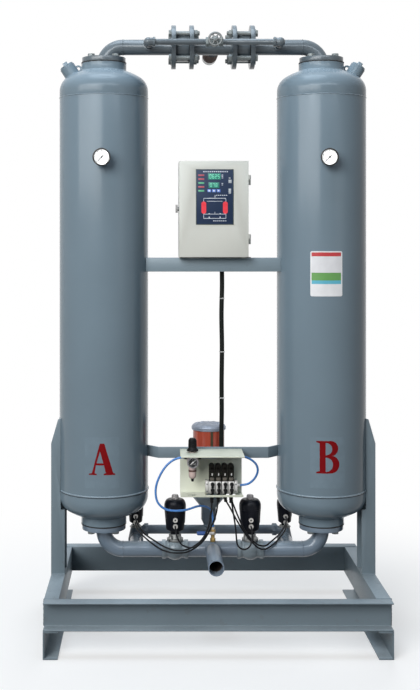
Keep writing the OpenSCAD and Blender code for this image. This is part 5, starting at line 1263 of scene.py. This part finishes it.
for k in range(SOL_COUNT):
    x = SOL_X + k * SOL_PITCH
    valve_bodies.append(block((x - SOL_W / 2, SOL_FRONT, SOL_Z),
                              (x + SOL_W / 2, SOL_BACK, SOL_Z + 0.044), 0.0016))
    coils += [block((x - 0.0102, SOL_FRONT + 0.002, SOL_Z + 0.0435),
                    (x + 0.0102, SOL_FRONT + 0.030, SOL_Z + 0.0945), 0.0022, 3),
              turned(coil_top, (x, SOL_FRONT + 0.016, SOL_Z + 0.096), axis="Y", steps=40),
              turned(coil_button, (x, SOL_FRONT + 0.0022, SOL_Z + 0.088), axis="Y", steps=32)]
    caps.append(block((x - 0.0078, SOL_FRONT - 0.0022, SOL_Z + 0.046),
                      (x + 0.0078, SOL_FRONT + 0.003, SOL_Z + 0.058), 0.0018, 3))
    lamps.append(block((x - 0.0012, SOL_FRONT - 0.0004, SOL_Z + 0.0645),
                       (x + 0.0032, SOL_FRONT + 0.0025, SOL_Z + 0.0735), 0.0014, 3))
    for high in (0.013, 0.034):
        fittings += [turned(fitting_neck, (x + 0.002, SOL_FRONT, SOL_Z + high), axis="Y", steps=28),
                     turned(fitting_elbow, (x + 0.002, SOL_FRONT - 0.0085, SOL_Z + high), steps=24)]
    fittings += [turned(foot_fitting, (x, SOL_FRONT + inward, SOL_Z), steps=28) for inward in (0.010, 0.024)]
fit(joined(valve_bodies), "solenoid_bodies", valve_aluminium, instead_of=["solenoid_valves"])
fit(joined(coils), "solenoid_coils", coil_black)
fit(joined(caps), "solenoid_plug_caps", cap_grey)
fit(joined(lamps), "solenoid_lamps", lamp_white)
fit(joined(fittings), "solenoid_fittings", fitting_black)
row_end = SOL_X + (SOL_COUNT - 1) * SOL_PITCH + 0.0172
ends = [block((x - 0.0055, -0.104, SOL_Z + 0.040), (x + 0.0055, -0.082, SOL_Z + 0.0445), 0.0012)
        for x in (SOL_X - 0.017, row_end)]
fit(joined(ends), "manifold_end_clips", lamp_white)
screws = [turned(screw_head, (x, -0.106, SOL_Z + high), axis="Y", steps=20)
          for x in (SOL_X - 0.0172, row_end) for high in (0.007, 0.033)]
fit(joined(screws), "manifold_screws", bolt_zinc)

# Pilot tap: a small brass ball valve with hexagon ends in the boss on the inlet pipe, with a tube nut on
# top and a pressed steel lever that carries a blue vinyl sleeve.
TAP_X, TAP_Y, TAP_LOW, LEVER_Z = 0.0, -0.015, 0.30224, 0.33824
tap_brass = metal("tap_brass", (0.50, 0.34, 0.12), (0.24, 0.17, 0.08), 0.7, 0.20, 0.1, 0.95)
rounded_node("pilot_tap", 0.0006, tap_brass)
tube_nut = turned([(0.0044, 0.0), (0.0080, 0.0), (0.0086, 0.0008), (0.0086, 0.0068), (0.0078, 0.0082),
                   (0.0062, 0.0090), (0.0044, 0.0092), (0.0044, 0.0)],
                  (TAP_X, TAP_Y, TAP_LOW + 0.0445), steps=6)
fit(soften(tube_nut, 0.0004, angle=25), "tap_tube_nut", port_nickel)
arm = [block((-0.026, TAP_Y - 0.0255, LEVER_Z - 0.005), (0.005, TAP_Y - 0.0225, LEVER_Z + 0.005), 0.0008),
       turned(rod(0.0025, -0.0265, -0.005), (TAP_X, TAP_Y, LEVER_Z), axis="Y", steps=24),
       turned([(0, -0.0285), (0.0030, -0.0285), (0.0042, -0.0275), (0.0042, -0.0252), (0, -0.0252)],
              (TAP_X, TAP_Y, LEVER_Z), axis="Y", steps=6)]
fit(joined(arm), "tap_lever_arm", port_nickel, "tap", ["tap_lever"])
sleeve_blue = plastic("lever_vinyl", (0.016, 0.070, 0.26), 0.30, 0.35)
sleeve = turned([(0, -0.060), (0.0030, -0.0598), (0.0058, -0.0585), (0.0072, -0.0560), (0.0075, -0.0530),
                 (0.0075, -0.0290), (0.0070, -0.0250), (0.0064, -0.0225), (0.0050, -0.0220), (0, -0.0220)],
                (0, TAP_Y - 0.024, LEVER_Z), axis="X", steps=40)
fit(sleeve, "tap_lever_sleeve", sleeve_blue, "tap")

# Inner parts: the beds of white alumina beads between woven steel screens in the towers, and the bright
# stems and flap discs of the valves. They are hidden in use and show only when the part is taken apart.
beads, beads_in, beads_out = effect_group("loose beads", (
    ("Colour", COLOUR, (0.7, 0.69, 0.66, 1)), ("Gap", COLOUR, (0.2, 0.19, 0.18, 1)),
    ("Size", FLOAT, 300.0)), SURFACE)
# The darker colour in the gaps between beads and between screen wires is painted shade.
bead_cells = beads.nodes.new("ShaderNodeTexVoronoi")
link_nodes(beads, (beads.nodes.new("ShaderNodeTexCoord").outputs["Object"], bead_cells.inputs["Vector"]),
           (beads_in.outputs["Size"], bead_cells.inputs["Scale"]))
from_bead = bead_cells.outputs["Distance"]
gap_shade = math_node(beads, "POWER", from_bead, 2.0)
link_nodes(beads, (mixed(beads, gap_shade, beads_in.outputs["Colour"], beads_in.outputs["Gap"]),
                   beads_out.inputs["Colour"]),
           (math_node(beads, "MULTIPLY_ADD", from_bead, 0.3, 0.55), beads_out.inputs["Roughness"]),
           (math_node(beads, "SUBTRACT", 1.0, gap_shade), beads_out.inputs["Height"]))
repaint("desiccant_beds", finish(
    "alumina_beads", beads, {"Colour": (0.70, 0.69, 0.66), "Gap": (0.26, 0.25, 0.23), "Size": 330.0},
    bump=0.9, depth=0.002))
repaint("bed_screens", finish(
    "woven_screen", beads, {"Colour": (0.42, 0.42, 0.41), "Gap": (0.06, 0.06, 0.06), "Size": 620.0},
    bump=0.6, depth=0.001, Metallic=0.8))
stem_steel = metal("stem_steel", (0.58, 0.58, 0.57), (0.40, 0.39, 0.37), 0.4, 0.14, 0.05, 1.0)
for hidden in ("check_disc_a", "check_disc_b", "inlet_stem_a", "inlet_stem_b", "purge_stem_a", "purge_stem_b"):
    repaint(hidden, stem_steel)

# Air tubes and the signal cable: extruded nylon tube pushed into fittings at both ends, blue for the
# supply and black for the valve signals, and one sheathed cable held by pale ties.
TUBE_D, SUPPLY_D, CABLE_D = 0.006, 0.008, 0.017
TUBE_BLUE, TUBE_BLACK, CABLE_BLACK = (0.058, 0.215, 0.58), (0.010, 0.011, 0.013), (0.008, 0.010, 0.009)
ROUTES = {
    "supply_tube": [(-102, -113, 630), (-124, -113, 628), (-152, -115, 617), (-180, -118, 590),
                    (-203, -120, 546), (-210, -120, 505), (-200, -118, 466), (-166, -112, 441),
                    (-108, -100, 437), (-50, -72, 446), (-12, -40, 428), (0, -20, 392), (0, -15, 350)],
    "feed_tube": [(-54, -113, 630), (-8, -114, 631), (40, -115, 634), (85, -113, 635), (122, -108, 626),
                  (149, -100, 605), (158, -90, 578), (149, -79, 549), (128, -69, 527), (100, -66, 520),
                  (86, -66, 520)],
    "left_1": [(-138, -42, 364), (-138, -64, 363), (-137, -83, 355), (-131, -96, 335), (-113, -102, 312),
               (-82, -104, 304), (-53, -107, 317), (-31, -110, 350), (-16, -109, 398), (-9, -105, 446),
               (-8, -102, 478), (-8, -102, 492)],
    "left_2": [(-285, 136, 333), (-284, 108, 330), (-274, 68, 320), (-250, 16, 309), (-222, -32, 299),
               (-186, -62, 284), (-140, -74, 276), (-92, -76, 282), (-46, -76, 312), (-16, -78, 356),
               (8, -84, 420), (15, -88, 476), (15, -88, 492)],
    "left_3": [(-285, 136, 356), (-284, 106, 352), (-274, 66, 339), (-248, 14, 321), (-214, -38, 311),
               (-176, -68, 296), (-136, -82, 288), (-94, -86, 293), (-50, -90, 322), (-24, -90, 364),
               (-10, -88, 426), (-8, -88, 478), (-8, -88, 492)],
    "right_1": [(138, -42, 364), (138, -64, 363), (138, -84, 354), (137, -99, 340), (134, -107, 326),
                (129, -111, 313), (120, -113, 304), (107, -114, 300), (94, -113, 304), (85, -112, 313),
                (81, -110, 326), (79, -108, 350), (76, -106, 382), (71, -105, 414), (66, -104, 447),
                (61, -102, 478), (61, -102, 492)],
    "right_2": [(285, 136, 333), (284, 108, 330), (274, 68, 320), (250, 16, 309), (222, -32, 298),
                (188, -60, 286), (162, -70, 294), (140, -74, 314), (119, -76, 340), (100, -79, 368),
                (80, -83, 402), (59, -87, 442), (43, -88, 470), (38, -88, 492)],
    "right_3": [(285, 136, 356), (284, 106, 352), (274, 66, 339), (248, 14, 322), (216, -36, 311),
                (188, -64, 300), (163, -78, 306), (140, -85, 324), (120, -88, 348), (103, -90, 376),
                (89, -91, 408), (75, -91, 442), (63, -89, 474), (61, -88, 492)],
    "cable": [(35, 20, 1325), (36, 20, 1240), (34, 22, 1130), (36, 25, 1010), (35, 30, 880),
              (36, 38, 770), (35, 43, 690), (35, 44, 640), (35, 38, 610), (35, 23, 586), (35, 2, 573),
              (35, -14, 570), (35, -25, 570)],
}


def smooth_run(points, steps=24):
    """Points along the smooth line through a route, close enough to measure its length."""
    run = []
    for i in range(len(points) - 1):
        a, b, c, d = (points[max(i - 1, 0)], points[i], points[i + 1], points[min(i + 2, len(points) - 1)])
        for k in range(steps):
            t = k / steps
            run.append(0.5 * (2 * b + (c - a) * t + (2 * a - 5 * b + 4 * c - d) * t * t
                              + (3 * b - a - 3 * c + d) * t ** 3))
    return run + [points[-1]]


def tube_piece(name, route, diameter, material, slot, node, ties=(), **facts):
    """A tube as one curve through its route, set on the frame in place of its CAD node; gives back points along
    its line.
    """
    points = [Vector(p) / 1000 for p in route]
    curve = bpy.data.curves.new(name, "CURVE")
    curve.dimensions = "3D"
    curve.bevel_depth = diameter / 2
    curve.bevel_resolution = 5
    curve.resolution_u = 10
    curve.use_fill_caps = True
    line = curve.splines.new("BEZIER")
    line.bezier_points.add(len(points) - 1)
    for i, (knot, place) in enumerate(zip(line.bezier_points, points)):
        lead = (points[min(i + 1, len(points) - 1)] - points[max(i - 1, 0)]) / 6
        knot.co = place
        knot.handle_left_type = knot.handle_right_type = "FREE"
        knot.handle_left, knot.handle_right = place - lead, place + lead
    piece = bpy.data.objects.new(name, curve)
    bpy.context.scene.collection.objects.link(piece)
    curve.materials.append(material)
    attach(piece, "frame")
    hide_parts(node)
    run = smooth_run(points)
    return run


nylon = clouded_group("extruded nylon", (26, 4), (420, 3), 0.22, "Scuff")
blue_nylon = finish("blue_nylon", nylon, {"Colour": TUBE_BLUE, "Gloss": 0.16, "Scuff": 0.4}, bump=0.05)
black_nylon = finish("black_nylon", nylon, {"Colour": TUBE_BLACK, "Gloss": 0.30, "Scuff": 0.6}, bump=0.08,
                     Specular_IOR_Level=0.1)
black_sheath = finish("black_sheath", nylon, {"Colour": CABLE_BLACK, "Gloss": 0.38, "Scuff": 0.7},
                      bump=0.2, depth=0.0006, Specular_IOR_Level=0.1)
tube_piece("blue_supply_tube", ROUTES["supply_tube"], SUPPLY_D, blue_nylon, "blue_plastic", "supply_tube",
           stiffness="medium", lay="hanging")
tube_piece("blue_feed_tube", ROUTES["feed_tube"], SUPPLY_D, blue_nylon, "blue_plastic", "feed_tube",
           stiffness="stiff", lay="taut")
UNION = [(0.0037, 0.0), (0.0060, 0.0), (0.0066, 0.0008), (0.0066, 0.0120), (0.0055, 0.0130), (0.0055, 0.0155),
         (0.0062, 0.0162), (0.0062, 0.0205), (0.0052, 0.0220), (0.0037, 0.0220), (0.0037, 0.0)]
unions = []
for way in ("left", "right"):
    for k in (1, 2, 3):
        run = tube_piece(f"black_tube_{way}_{k}", ROUTES[f"{way}_{k}"], TUBE_D, black_nylon, "rubber",
                         f"control_tubes_{way}", stiffness="medium", lay="hanging")
        lead = (run[-22] - run[-1]).normalized()
        unions.append(aimed(turned(UNION, (0, 0, 0), steps=28), run[-1] + lead * 0.0056, lead))
fit(joined(unions), "tray_unions", fitting_black)
TIE_T, TIE_W = 0.0012, 0.0036
tie_white = finish("tie_nylon", nylon, {"Colour": (0.42, 0.43, 0.43), "Gloss": 0.4, "Scuff": 0.2}, bump=0.05)
cable_points = [Vector(p) / 1000 for p in ROUTES["cable"]]
cable_line = smooth_run(cable_points)
ties = []
for tie_name, height in (("upper", 1.190), ("middle", 0.995), ("lower", 0.820)):
    spot = min(cable_line, key=lambda p: abs(p.z - height))
    band = turned(hoop(CABLE_D / 2 - 0.0003, CABLE_D / 2 + TIE_T, -TIE_W / 2, TIE_W / 2), spot, steps=40)
    head = block(spot + Vector((0.004, -CABLE_D / 2 - 0.0042, -0.0024)),
                 spot + Vector((0.009, -CABLE_D / 2 + 0.0030, 0.0024)), 0.0006)
    ties.append(fit(joined([band, head]), f"cable_tie_{tie_name}", tie_white))
tube_piece("signal_cable", ROUTES["cable"], CABLE_D, black_sheath, "rubber", "cable_bundle", ties=ties,
           stiffness="stiff", lay="hanging")
